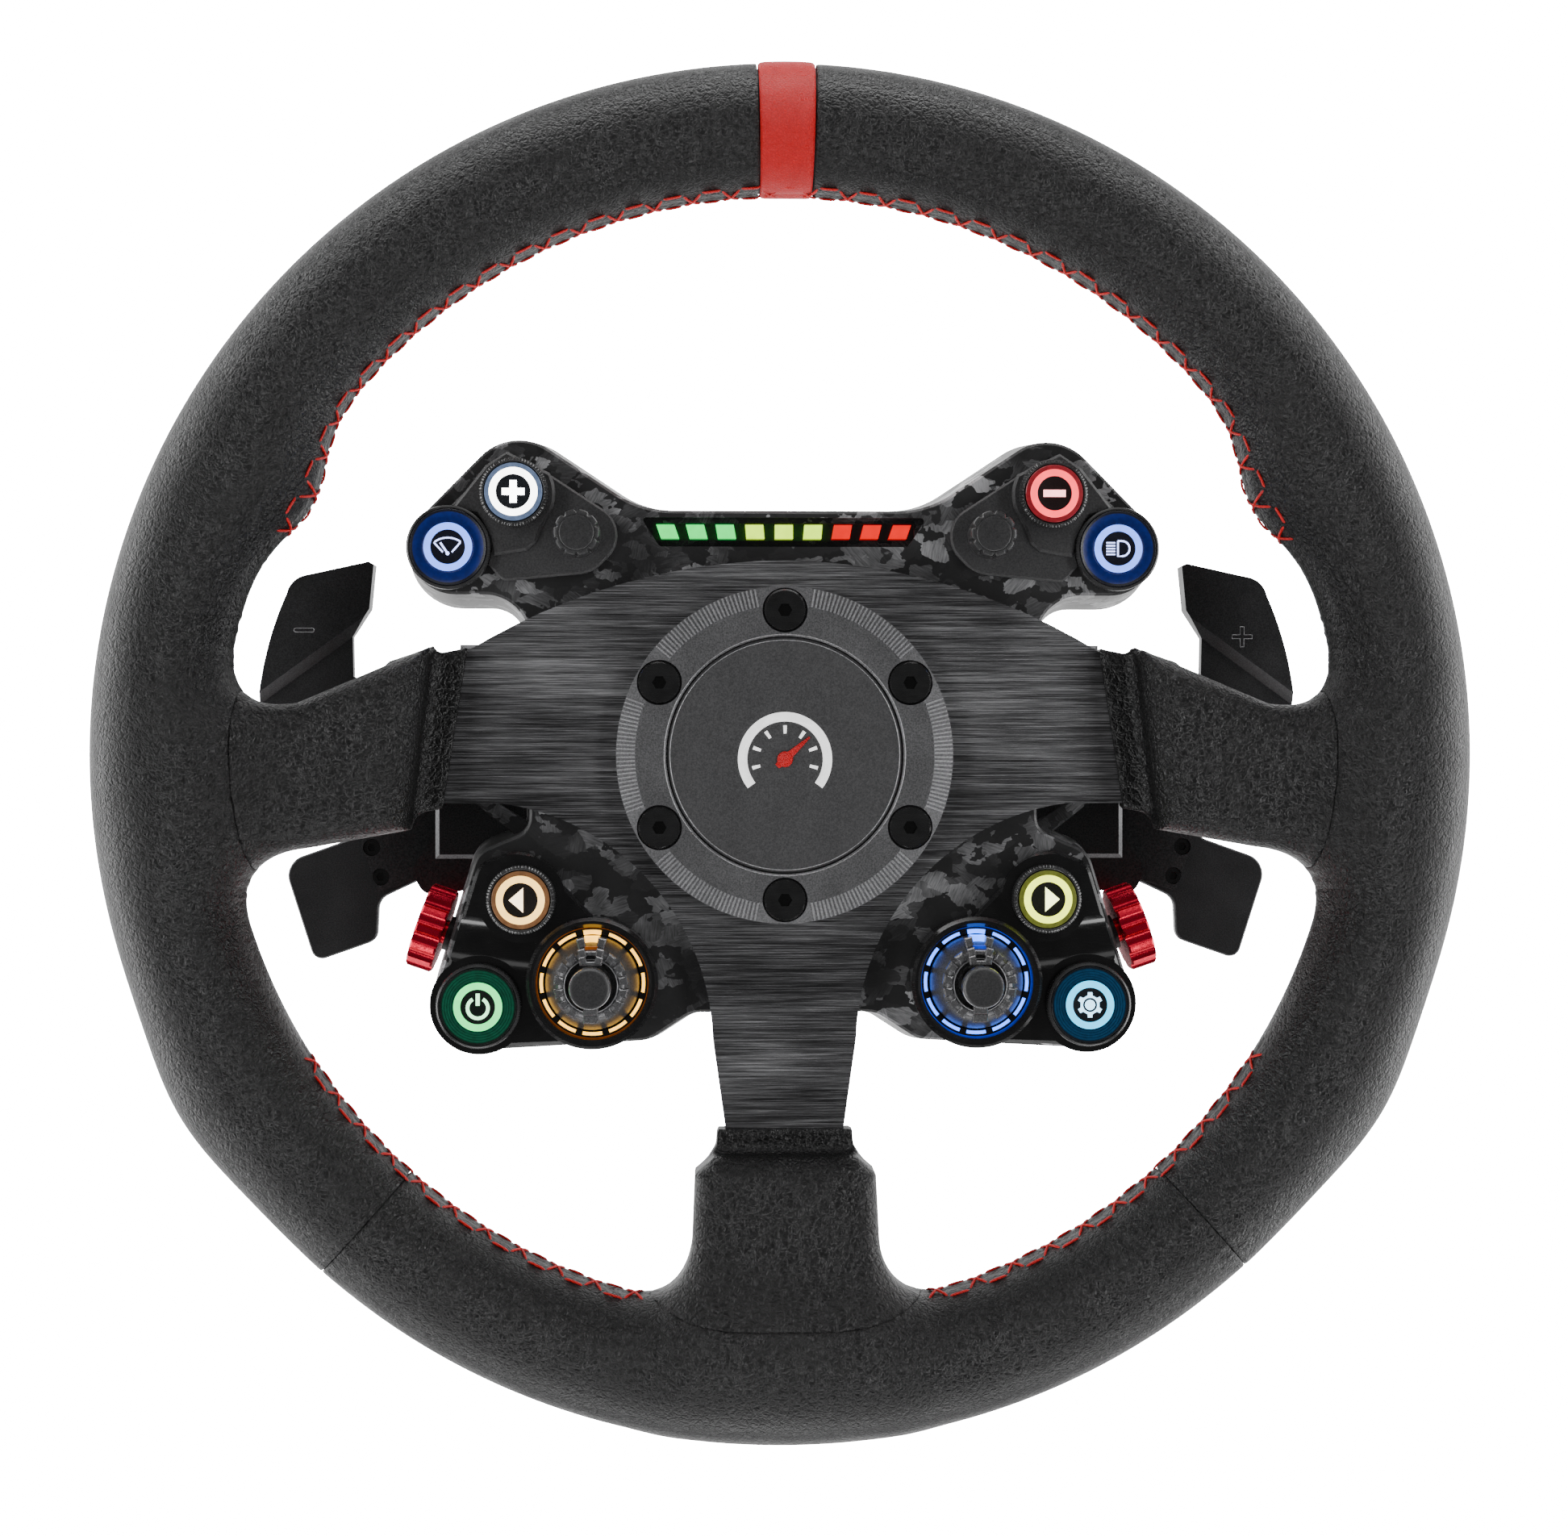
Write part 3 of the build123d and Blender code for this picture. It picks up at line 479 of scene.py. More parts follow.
# a lighter copy of satin_black: on the hub's two edge lines it is painted highlight; it also colours the hub
# ridges and the paddle signs
SATIN_BRIGHT = satin_metal("satin_edge", 0.5, 0.33)
HUB_METAL = satin_metal("hub_black", 0.1, 0.38)
PADDLE = satin_metal("paddle_black", 0.07, 0.34, 0.7, 3400)
SCREW = gloss("screw_black", 0.01, 0.2)
CARBON = forged_carbon()
PANEL = moulded("panel_black", 0.04, 0.45)
COVER = moulded("cover_black", 0.016, 0.6, 1800, 0.35)
BADGE = moulded("badge_grey", 0.06, 0.42, 3000, 0.12)
GLOSS = gloss("gloss_black", 0.007)
KNOB = moulded("knob_black", 0.035, 0.34, 3200, 0.12)
KNURL = gloss("knurl_black", 0.035, 0.2)
DIAL = satin_metal("dial_black", 0.15, 0.4, 0.7)
STEEL = turned_metal("steel", (0.55, 0.55, 0.57))
BRASS = turned_metal("brass", (0.8, 0.55, 0.22), 0.3)
MAGNET = turned_metal("magnet", (0.75, 0.75, 0.78), 0.16)
RED_METAL = anodised("anodised_red", (0.95, 0.02, 0.06))
DIAL_EDGE = satin_metal("dial_edge", 0.3, 0.24, 0.8)
CAP_RIM = satin_metal("cap_rim", 0.5, 0.2, 0.9)
PCB = board_green()
LENS = smoked_lens()


# ================================================================ leather cover, as one implicit surface
VOXEL = 0.95            # mm, grid of the leather surface
LOWER_SEAM_DEG = 138.0  # the two lower seams, from the top
COVER_DEEP = 1.3        # how far the leather's cut edges are tucked in
STITCH_DEG = 4.5        # the inner seam's place round the grip, from the inside towards the front
THUMB_BUMP_DEG, PALM_BUMP_DEG = 62.0, 121.0     # middles of the bumps inside and outside the grip
GRIP_MM_PER_DEG = 2.6   # length along the rim of one degree
BOOT_BACK = 15.0        # depth of the back of the boots
SIDE_BOOT = [(-84.9, 26.1), (-116, 12.5), (-145, 8), (-145, -26), (-114, -22.2), (-90.1, -18)]
SIDE_COLLAR = [(-76.6, 26.0), (-95, 22), (-95, -15), (-82.6, -13.0)]
BOTTOM_BOOT = [(17.2, -96.5), (21.8, -100.5), (22.5, -118), (26, -150), (-26, -150), (-22.5, -118),
               (-21.8, -100.5), (-17.2, -96.5)]
BOTTOM_COLLAR = [(16.4, -90.7), (17.4, -104), (-17.4, -104), (-16.4, -90.7)]


def smooth_min(a, b, blend):
    """The lower of two distances, with a round transition of this width where they meet."""
    share = np.clip(0.5 + 0.5 * (b - a) / blend, 0, 1)
    return b + (a - b) * share - blend * share * (1 - share)


def outline_distance(x, z, corners):
    """Distance to a closed outline in x and z, negative inside."""
    nearest, sign = 1e9, 1.0
    for (ax, az), (bx, bz) in zip(corners, corners[1:] + corners[:1]):
        ex, ez = bx - ax, bz - az
        along = np.clip(((x - ax) * ex + (z - az) * ez) / (ex * ex + ez * ez), 0, 1)
        nearest = np.minimum(nearest, np.hypot(x - ax - ex * along, z - az - ez * along))
        spans = (az > z) != (bz > z)
        crossed = spans & (x < ex * (z - az) / (ez if ez else 1e-9) + ax)
        sign = np.where(crossed, -sign, sign)
    return nearest * sign


def padded_slab(flat, depth, front, back, rounding):
    """A flat distance made a slab between two depths, with rounded edges."""
    side = flat + rounding
    end = np.abs(depth - (front + back) / 2) - (back - front) / 2 + rounding
    beyond = np.hypot(np.maximum(side, 0), np.maximum(end, 0))
    return np.minimum(np.maximum(side, end), 0) + beyond - rounding


def swelling(turn, centre, width, height):
    """How far the grip stands out at an angle from the top, for a bump on each side."""
    return height * np.exp(-((np.abs(turn) - centre) / width) ** 2)


def leather_field(x, depth, z):
    """Distance to the leather's outer surface: the grip with its bumps, and the three boots."""
    turn = np.degrees(np.arctan2(x, z))
    beyond = np.hypot(x, z) - RING_R
    inner = GRIP_R / (GRIP_R + swelling(turn, THUMB_BUMP_DEG, 6.5, 6.3))
    outer = GRIP_R / (GRIP_R + swelling(turn, PALM_BUMP_DEG, 7.2, 2.6))
    field = np.hypot(beyond * np.where(beyond < 0, inner, outer), depth) - GRIP_R
    left = -np.abs(x)
    front = -4.0 + np.clip((-85 - left) / 40, 0, 1.2) * -5.0
    boot = padded_slab(outline_distance(left, z, SIDE_BOOT), depth, front, BOOT_BACK, 7.0)
    collar = padded_slab(outline_distance(left, z, SIDE_COLLAR), depth, 6.7, 13.3, 0.6)
    side = smooth_min(boot, collar, 3.6)
    front = -4.0 + np.clip((-98 - z) / 30, 0, 1.2) * -5.0
    boot = padded_slab(outline_distance(x, z, BOTTOM_BOOT), depth, front, BOOT_BACK, 5.6)
    collar = padded_slab(outline_distance(x, z, BOTTOM_COLLAR), depth, 6.7, 13.3, 0.6)
    bottom = smooth_min(boot, collar, 3.0)
    return smooth_min(field, np.minimum(side, bottom), 17.0)


def surface_net(field, low, step):
    """The zero surface of a field on a grid, as points and outward four-sided faces."""
    size = np.array(field.shape) - 1
    corner_steps = [(i, j, k) for i in (0, 1) for j in (0, 1) for k in (0, 1)]

    def corner(steps):
        return field[tuple(slice(s, s + n) for s, n in zip(steps, size))]

    inside = sum((corner(s) < 0).astype(np.int8) for s in corner_steps)
    mixed = (inside > 0) & (inside < 8)
    cell = np.stack(np.nonzero(mixed), axis=1)
    values = {s: corner(s)[mixed] for s in corner_steps}
    total, crossings = np.zeros(cell.shape), np.zeros(len(cell))
    for start in corner_steps:
        for axis in range(3):
            if start[axis]:
                continue
            end = tuple(1 if k == axis else start[k] for k in range(3))
            a, b = values[start], values[end]
            hit = (a < 0) != (b < 0)
            place = np.tile(np.array(start, float), (len(cell), 1))
            place[:, axis] = np.where(hit, a / np.where(hit, a - b, 1), 0)
            total += place * hit[:, None]
            crossings += hit
    points = low + (cell + total / crossings[:, None]) * step
    number = np.full(mixed.shape, -1)
    number[mixed] = np.arange(len(cell))
    faces = []
    for axis in range(3):
        others = [k for k in range(3) if k != axis]
        low_side = np.moveaxis(field < 0, (axis, *others), (0, 1, 2))
        cells = np.moveaxis(number, (axis, *others), (0, 1, 2))
        i, j, k = np.nonzero(low_side[:-1, 1:-1, 1:-1] != low_side[1:, 1:-1, 1:-1])
        corners = cells[i, j, k], cells[i, j + 1, k], cells[i, j + 1, k + 1], cells[i, j, k + 1]
        quads = np.stack(corners, axis=1)
        outward = low_side[i, j + 1, k + 1] != (axis == 1)
        quads[~outward] = quads[~outward][:, ::-1]
        faces.append(quads)
    return points, np.concatenate(faces)


def on_field(points):
    return leather_field(*np.asarray(points).T)


def outward(points, step=0.05):
    """The field's gradient at points, which is the leather's outward normal."""
    parts = []
    for axis in range(3):
        shift = np.zeros(3)
        shift[axis] = step
        parts.append((on_field(points + shift) - on_field(points - shift)) / (2 * step))
    return np.stack(parts, axis=1)


def settle(points, level=0.0, rounds=3):
    """Moves points along the field to where it has this value."""
    for _ in range(rounds):
        slope = outward(points)
        points = points - slope * ((on_field(points) - level) / (slope ** 2).sum(axis=1))[:, None]
    return points


def relaxed(points, faces, rounds=3):
    """Evens out the net by moving each point towards the mean of its neighbours, on the surface."""
    ends = np.concatenate([faces[:, [k, (k + 1) % 4]] for k in range(4)])
    count = np.bincount(ends.ravel(), minlength=len(points))[:, None]
    for _ in range(rounds):
        sums = [np.bincount(ends[:, 0], points[ends[:, 1], k], len(points))
                + np.bincount(ends[:, 1], points[ends[:, 0], k], len(points)) for k in range(3)]
        mean = np.stack(sums, axis=1)
        points = settle(points + 0.6 * (mean / count - points), rounds=1)
    return settle(points)


def cut(points, faces, value):
    """Splits faces along the curve where value(points) is 0. Returns points, faces below and faces above."""
    step = 0.02
    at = value(points)
    slope = np.stack([(value(points + shift) - value(points - shift)) / (2 * step)
                      for shift in np.eye(3) * step], axis=1)
    steep = np.maximum(np.hypot(slope[:, 0], slope[:, 2]), 1e-3)
    near = np.abs(at / steep) < 0.28 * VOXEL
    points = points.copy()
    points[near] -= slope[near] * (at[near] / steep[near] ** 2)[:, None]
    at = np.where(near, 0.0, at)
    below, above, added, between = [], [], [], {}
    for face in faces:
        sides = at[list(face)]
        if sides.max() <= 0:
            below.append(face)
        elif sides.min() >= 0:
            above.append(face)
        else:
            parts = ([], [])
            for a, b in zip(face, (*face[1:], face[0])):
                if at[a] <= 0:
                    parts[0].append(a)
                if at[a] >= 0:
                    parts[1].append(a)
                if at[a] * at[b] < 0:
                    key = (min(a, b), max(a, b))
                    if key not in between:
                        share = at[a] / (at[a] - at[b])
                        between[key] = len(points) + len(added)
                        added.append(points[a] + (points[b] - points[a]) * share)
                    parts[0].append(between[key])
                    parts[1].append(between[key])
            for part, side in zip(parts, (below, above)):
                if len(part) > 2:
                    side.append(tuple(part))
    return np.vstack([points, *added]) if added else points, below, above


def stripe_half(radius):
    """Half width of the red stripe, which is a little wider on the outside of the rim than on the inside."""
    return 3.7 + 0.0197 * radius


def turn_of(points):
    """Degrees from the top round the rim, positive on the driver's right."""
    return np.degrees(np.arctan2(points[:, 0], points[:, 2]))


def side_seam(points):
    """Distance inside the seam between a side boot and the grip."""
    return 130.4 - 3.2 * ((points[:, 2] - 1) / 24) ** 2 - np.abs(points[:, 0])


def bottom_seam(points):
    return points[:, 2] + 135.5 - 7 * (np.abs(points[:, 0]) / 32.4) ** 3.2


def lower_seam(points):
    """Distance along the rim past the two lower seams."""
    return (np.abs(turn_of(points)) - LOWER_SEAM_DEG) * GRIP_MM_PER_DEG


def stripe_seam(points):
    """Distance outside the red stripe."""
    return np.abs(points[:, 0]) - stripe_half(np.hypot(points[:, 0], points[:, 2])) - 0.1


def leather_net():
    """The whole leather surface, and its faces by panel."""
    low = np.array((-168.0, -17.5, -168.0))
    count = np.ceil(-2 * low / VOXEL).astype(int) + 1
    grid = [low[k] + VOXEL * np.arange(count[k]) for k in range(3)]
    x, depth, z = np.meshgrid(*grid, indexing="ij", sparse=True)
    points, faces = surface_net(leather_field(x, depth, z), low, VOXEL)
    points = relaxed(points, faces)
    faces = [tuple(f) for f in faces.tolist()]

    def part(test, group):
        """Splits a list of faces by a test on their first point."""
        first = points[[f[0] for f in group]]
        keep = test(first)
        return [f for f, k in zip(group, keep) if k], [f for f, k in zip(group, keep) if not k]

    panels = {}
    near_side, rest = part(lambda p: (np.abs(p[:, 2]) < 60) & (np.abs(p[:, 0]) > 60), faces)
    points, grip_side, boots = cut(points, near_side, side_seam)
    panels["boot_left"], panels["boot_right"] = part(lambda p: p[:, 0] < 0, boots)
    near_bottom, rest = part(lambda p: (p[:, 2] < -80) & (np.abs(p[:, 0]) < 50), rest)
    points, grip_bottom, panels["boot_bottom"] = cut(points, near_bottom, bottom_seam)
    rest = rest + grip_side + grip_bottom
    points, upper, panels["leather_lower"] = cut(points, rest, lower_seam)
    points, _, upper = cut(points, upper, stripe_seam)
    panels["leather_upper_left"], panels["leather_upper_right"] = part(lambda p: p[:, 0] < 0, upper)
    return settle(points), panels


def creases(points):
    """How deep the folds beside the seams and on the thumb bumps are, in mm, for each point."""
    x, depth, z = points.T
    turn = np.abs(turn_of(points))
    round_grip = np.arctan2(-depth, RING_R - np.hypot(x, z)) * GRIP_R
    beside = -side_seam(points)
    below = -bottom_seam(points)
    lower = lower_seam(points)
    thumb = (turn - THUMB_BUMP_DEG) * 2.4
    folds = [
        # along the fold, across the folds, how strongly the fold shows, depth in mm
        (beside, z, np.exp(-((beside - 6) / 8) ** 2) * (np.abs(z) < 34) * (np.abs(x) > 100), 0.34),
        (below, x, np.exp(-((below - 7) / 8) ** 2) * (np.abs(x) < 44) * (z < -100), 0.34),
        (lower, round_grip, np.exp(-(lower / 5) ** 2), 0.2),
        (round_grip, turn * 2.4, np.exp(-(thumb / 26) ** 4) * np.exp(-(round_grip / 11) ** 2), 0.2),
    ]
    total = np.zeros(len(points))
    for number, (along, across, show, deep) in enumerate(folds):
        for i in np.nonzero(show > 0.05)[0]:
            value = noise.noise(Vector((across[i] * 0.36, along[i] * 0.055, number * 7.3)))
            total[i] += show[i] * deep * min(abs(value) * 2.6 - 0.5, 0.5)
    return total


def stitched(points):
    """1 where the inner seam runs, on the stitched stretches of the rim."""
    turn = turn_of(points)
    return ((turn > -67.8) & (turn < 68.4)) | ((np.abs(turn) > 120.5) & (np.abs(turn) < 166.6))


def seam_groove(points):
    """The two edges of leather that meet along the inner seam dip towards it."""
    x, depth, z = points.T
    beside = (np.degrees(np.arctan2(-depth, RING_R - np.hypot(x, z))) - STITCH_DEG) * GRIP_R * pi / 180
    return 0.35 * np.exp(-(beside / 0.8) ** 2) * stitched(points)


def leather_piece(name, points, faces, normals, material, node, lap):
    """One panel of leather. Its cut edges dip a little and are tucked in, lapped under the next panel."""
    edges = {}
    for face in faces:
        for a, b in zip(face, (*face[1:], face[0])):
            edges[(a, b)] = None
    rim = [(a, b) for a, b in edges if (b, a) not in edges]
    start, end = np.array(rim).T
    along = points[end] - points[start]
    inward = np.cross(normals[start], along)
    inward /= np.maximum(np.linalg.norm(inward, axis=1), 1e-9)[:, None]
    pull = np.zeros_like(points)
    np.add.at(pull, start, inward)
    np.add.at(pull, end, inward)
    edge = np.unique(start)
    pull = pull[edge] / np.maximum(np.linalg.norm(pull[edge], axis=1), 1e-9)[:, None]
    panel = points.copy()
    panel[edge] += pull * 0.1 - normals[edge] * 0.2
    tucked = {int(v): len(points) + k for k, v in enumerate(edge)}
    panel = np.vstack([panel, panel[edge] - normals[edge] * COVER_DEEP - pull * lap])
    faces = faces + [(b, a, tucked[a], tucked[b]) for a, b in rim]
    used = sorted({i for f in faces for i in f})
    place = {v: k for k, v in enumerate(used)}
    obj = add_mesh(name, panel[used], [tuple(place[i] for i in f) for f in faces], material)
    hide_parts(node)
    return crease(obj, 50)


def make_leather():
    points, panels = leather_net()
    normals = outward(points)
    points = points - normals * (creases(points) + seam_groove(points))[:, None]
    for name, faces in panels.items():
        boot = name.startswith("boot")
        leather_piece(name, points, faces, normals, BOOT_LEATHER if boot else BLACK_LEATHER,
                      "spoke_boots" if boot else "rim_leather", 0.8 if boot else 0.0)


def on_grip(turn, round_deg, lift):
    """A place on the leather, at angles from the top and round the grip from the inside to the front."""
    turn, round_deg = radians(turn), radians(round_deg)
    radius = RING_R - (GRIP_R + 2) * cos(round_deg)
    place = np.array([[radius * sin(turn), -(GRIP_R + 2) * sin(round_deg), radius * cos(turn)]])
    return tuple(settle(place, lift, 4)[0])


def make_stripe():
    """The red band round the grip, with its edges rolled in and a butt seam on the inside."""
    half = [(0, 16.0), (0.4, 15.99), (0.8, 15.92), (0.93, 15.78), (0.99, 15.4), (1.0, 14.6)]
    across = [(-share, radius) for share, radius in reversed(half[1:])] + half
    count = 120
    points, faces = [], []
    for k in range(count):
        round_grip = 2 * pi * k / count
        tight = 0.5 * np.exp(-((k - 1.5) / 1.6) ** 2)
        for share, radius in across:
            radius += 0.06 * noise.noise(Vector((share * 2.2, k * 0.35, 0))) - (tight if radius > 15 else 0)
            ring = RING_R - radius * cos(round_grip)
            x = share * (stripe_half(ring) - 0.12)
            points.append((x, -radius * sin(round_grip), sqrt(ring ** 2 - x ** 2)))
    width = len(across)
    for k in range(count):
        for i in range(width - 1):
            a, b = k * width + i, (k + 1) % count * width + i
            faces.append((a, b, b + 1, a + 1))
    stripe = add_mesh("centre_band", points, faces, RED_LEATHER)
    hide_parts("centre_stripe")
    return crease(stripe, 50)


def stitch_strand(start, end, sag=0.0):
    """One stroke of thread over the leather, from and to (turn, round_deg), which dives in at both ends."""
    steps = 6
    line = []
    for k in range(steps + 1):
        share = k / steps
        lift = -0.5 + 0.78 * sin(pi * share) ** 0.35 if 0 < share < 1 else -0.5
        round_deg = start[1] + (end[1] - start[1]) * share + sag * sin(pi * share)
        line.append(on_grip(start[0] + (end[0] - start[0]) * share, round_deg, lift))
    return line


def make_stitching():
    """Red cross stitches inside the rim: an X, then a dash on the front rail and one on the back."""
    back_rail, front_rail = -10.0, 19.0
    for name, low, high in (("stitching_top", -67.2, 67.9), ("stitching_lower_right", 121.0, 166.2),
                            ("stitching_lower_left", -166.2, -121.0)):
        count = round((high - low) / 4.03)
        pitch = (high - low) / count
        reach = pitch * 0.245
        lines = []
        for k in range(count):
            middle = low + pitch * (k + 0.5)
            start, end, following = middle - reach, middle + reach, middle + pitch - reach
            lines.append(stitch_strand((start, back_rail), (end, front_rail)))
            lines.append(stitch_strand((start, front_rail), (end, back_rail)))
            if k < count - 1:
                lines.append(stitch_strand((end, front_rail), (following, front_rail), 1.5))
                lines.append(stitch_strand((end, back_rail), (following, back_rail), 5.0))
        strands(name, lines, 0.62, RED_THREAD)


make_leather()
make_stripe()
make_stitching()


# ================================================================ hub
def make_hub_ridges():
    """Fine ridges on the sloping edge of the hub ring, in six stretches between the screws."""
    inner, outer, front, back = 36.2, 40.7, 4.0, 5.2
    pitch, count = 1.46, 28
    parts = []
    for stretch in range(6):
        for k in range(count):
            turn = radians(stretch * 60 + 30 + (k - (count - 1) / 2) * pitch)
            half = 0.30
            places = []
            for radius, level in ((inner, front + 0.02), (outer, back)):
                for side, lift in ((-half, 0.15), (-half * 0.5, -0.26), (half * 0.5, -0.26), (half, 0.15)):
                    x = radius * sin(turn) + side * cos(turn)
                    z = radius * cos(turn) - side * sin(turn)
                    places.append((x, level + lift, z))
            faces = [(0, 1, 5, 4), (1, 2, 6, 5), (2, 3, 7, 6), (3, 0, 4, 7), (3, 2, 1, 0), (4, 5, 6, 7)]
            parts.append((places, faces))
    ridges = add_mesh("hub_ridges", *joined(parts), SATIN_BRIGHT, flat=True)
    # two thin bright rings at the badge's edge and groove: painted highlight on those edges
    lines = []
    for radius, depth in ((27.75, 4.24), (29.15, 4.04)):
        lines.append([(x, depth, z) for x, z in arc((0, 0), radius, 0, 357.5, 143)])
    edges = strands("hub_edge_highlights", lines, 0.2, SATIN_BRIGHT, closed=True)


def make_emblem():
    """A plain dial sign on the badge: an open ring with ticks, and a red needle."""
    face, proud = 4.2, 4.05
    white = [ring_sector((0, -1), 9.2, 11.4, -127.9, 127.9, proud, face, 64)]
    for k in range(7):
        turn = -105 + 35 * k
        white.append(ring_sector((0, -1), 6.2, 8.2, turn - 3.2, turn + 3.2, proud, face, 3))
    # the white ring and ticks glow a little: painted light that keeps the sign white
    ring = add_mesh("emblem_dial", *joined(white), lit("emblem_white_glow", (1, 1, 1), 1.1, (0.8, 0.8, 0.8)))
    needle_turn = radians(48)
    tip, tail, half = 8.0, 2.6, 1.1
    along, across = (sin(needle_turn), cos(needle_turn)), (cos(needle_turn), -sin(needle_turn))
    corners = [(-tail, -half * 0.6), (-tail, half * 0.6), (0, half), (tip, 0.22), (tip, -0.22), (0, -half)]
    outline = [(a * along[0] + b * across[0], -1 + a * along[1] + b * across[1]) for a, b in corners]
    hub = arc((0, -1), 1.9, 0, 350, 35)
    solids = joined([prism(outline, 3.95, face, 0.12), prism(hub, 3.85, face, 0.15)])
    needle = add_mesh("emblem_needle", *solids, RED_LEATHER)


# ================================================================ icons, drawn about (0, 0) in mm
def bar(x, z, width, height):
    return [(x - width / 2, z - height / 2), (x - width / 2, z + height / 2), (x + width / 2, z + height / 2),
            (x + width / 2, z - height / 2)]


def stroke(line, width):
    """A line of points made a band of this width, with mitred corners."""
    line = [np.array(p, float) for p in line]
    left, right = [], []
    for k, place in enumerate(line):
        before = line[max(k - 1, 0)]
        after = line[min(k + 1, len(line) - 1)]
        along = (after - before) / np.linalg.norm(after - before)
        across = np.array((-along[1], along[0])) * width / 2
        left.append(tuple(place + across))
        right.append(tuple(place - across))
    return left + right[::-1]


def cog(teeth, tip, root):
    """The outline of a gear wheel."""
    outline = []
    for k in range(teeth):
        for offset, radius in ((-15, root), (-10, tip), (10, tip), (15, root)):
            turn = radians(360 / teeth * k + offset)
            outline.append((radius * sin(turn), radius * cos(turn)))
    return outline


def icon_shapes(kind):
    """The outlines that make up a button's sign. Each is a list of (x, z)."""
    if kind == "plus":
        return [bar(0, 0, 1.7, 5.4), bar(-1.78, 0, 1.86, 1.7), bar(1.78, 0, 1.86, 1.7)]
    if kind == "minus":
        return [bar(0, 0, 5.4, 1.7)]
    if kind == "arrow_left":
        return [[(-2.8, 0), (0.7, 3.0), (0.7, -3.0)]]
    if kind == "arrow_right":
        return [[(2.8, 0), (-0.7, -3.0), (-0.7, 3.0)]]
    if kind == "power":
        return [stroke(arc((0, -0.3), 2.45, 30, 330, 40), 0.85), stroke([(0, 0.3), (0, 3.2)], 0.95)]
    if kind == "settings":
        return [cog(6, 3.1, 2.35)]
    if kind == "wiper":
        screen = [(-1.2, -1.3), (-3.3, 1.0)] + arc((0, -3.2), 5.4, -34, 34, 12) + [(3.0, 1.0), (1.0, -1.3)]
        arm = stroke([(-1.8, 1.0), (-0.1, -1.5)], 0.5)
        return [stroke(screen, 0.4), arm, arc((-0.05, -1.6), 0.45, 0, 330, 12)]
    lamp = [(-0.1, 1.9), (0.9, 1.85)] + arc((0.9, 0), 1.85, 10, 170, 14)
    lamp += [(0.9, -1.85), (-0.1, -1.9), (-0.1, 1.9)]
    rays = [bar(-1.85, z, 2.2, 0.36) for z in (1.4, 0.7, 0.0, -0.7, -1.4)]
    return [stroke(lamp, 0.42)] + rays


# ================================================================ buttons
def button_bezel(name, at, seat, outer, bore, knurled):
    """The fixed ring round a button, with its threaded barrel."""
    front = seat - 4.0
    profile = [(bore, seat - 1.1), (bore, front + 0.35), (bore + 0.12, front + 0.1), (bore + 0.3, front),
               (outer - 0.75, front), (outer - 0.6, front + 0.1), (outer - 0.1, front + 0.28),
               (outer, front + 0.6), (outer, seat - 0.5), (outer - 0.1, seat), (5.8, seat), (5.8, seat - 1.1),
               (bore, seat - 1.1)]

    def teeth(radius, depth, turn):
        """Fine teeth on the edge between the face and the side."""
        if not knurled or radius < outer - 0.65 or depth > front + 0.7:
            return radius, depth
        return radius - 0.16 * (cos(66 * turn) > 0), depth + 0.05 * (cos(66 * turn) > 0)

    ring = add_mesh(f"bezel_{name}", *lathe(at, profile, 264, teeth), KNURL)
    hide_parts("knurled_bezels" if knurled else "ribbed_bezels")
    return crease(ring, 28)


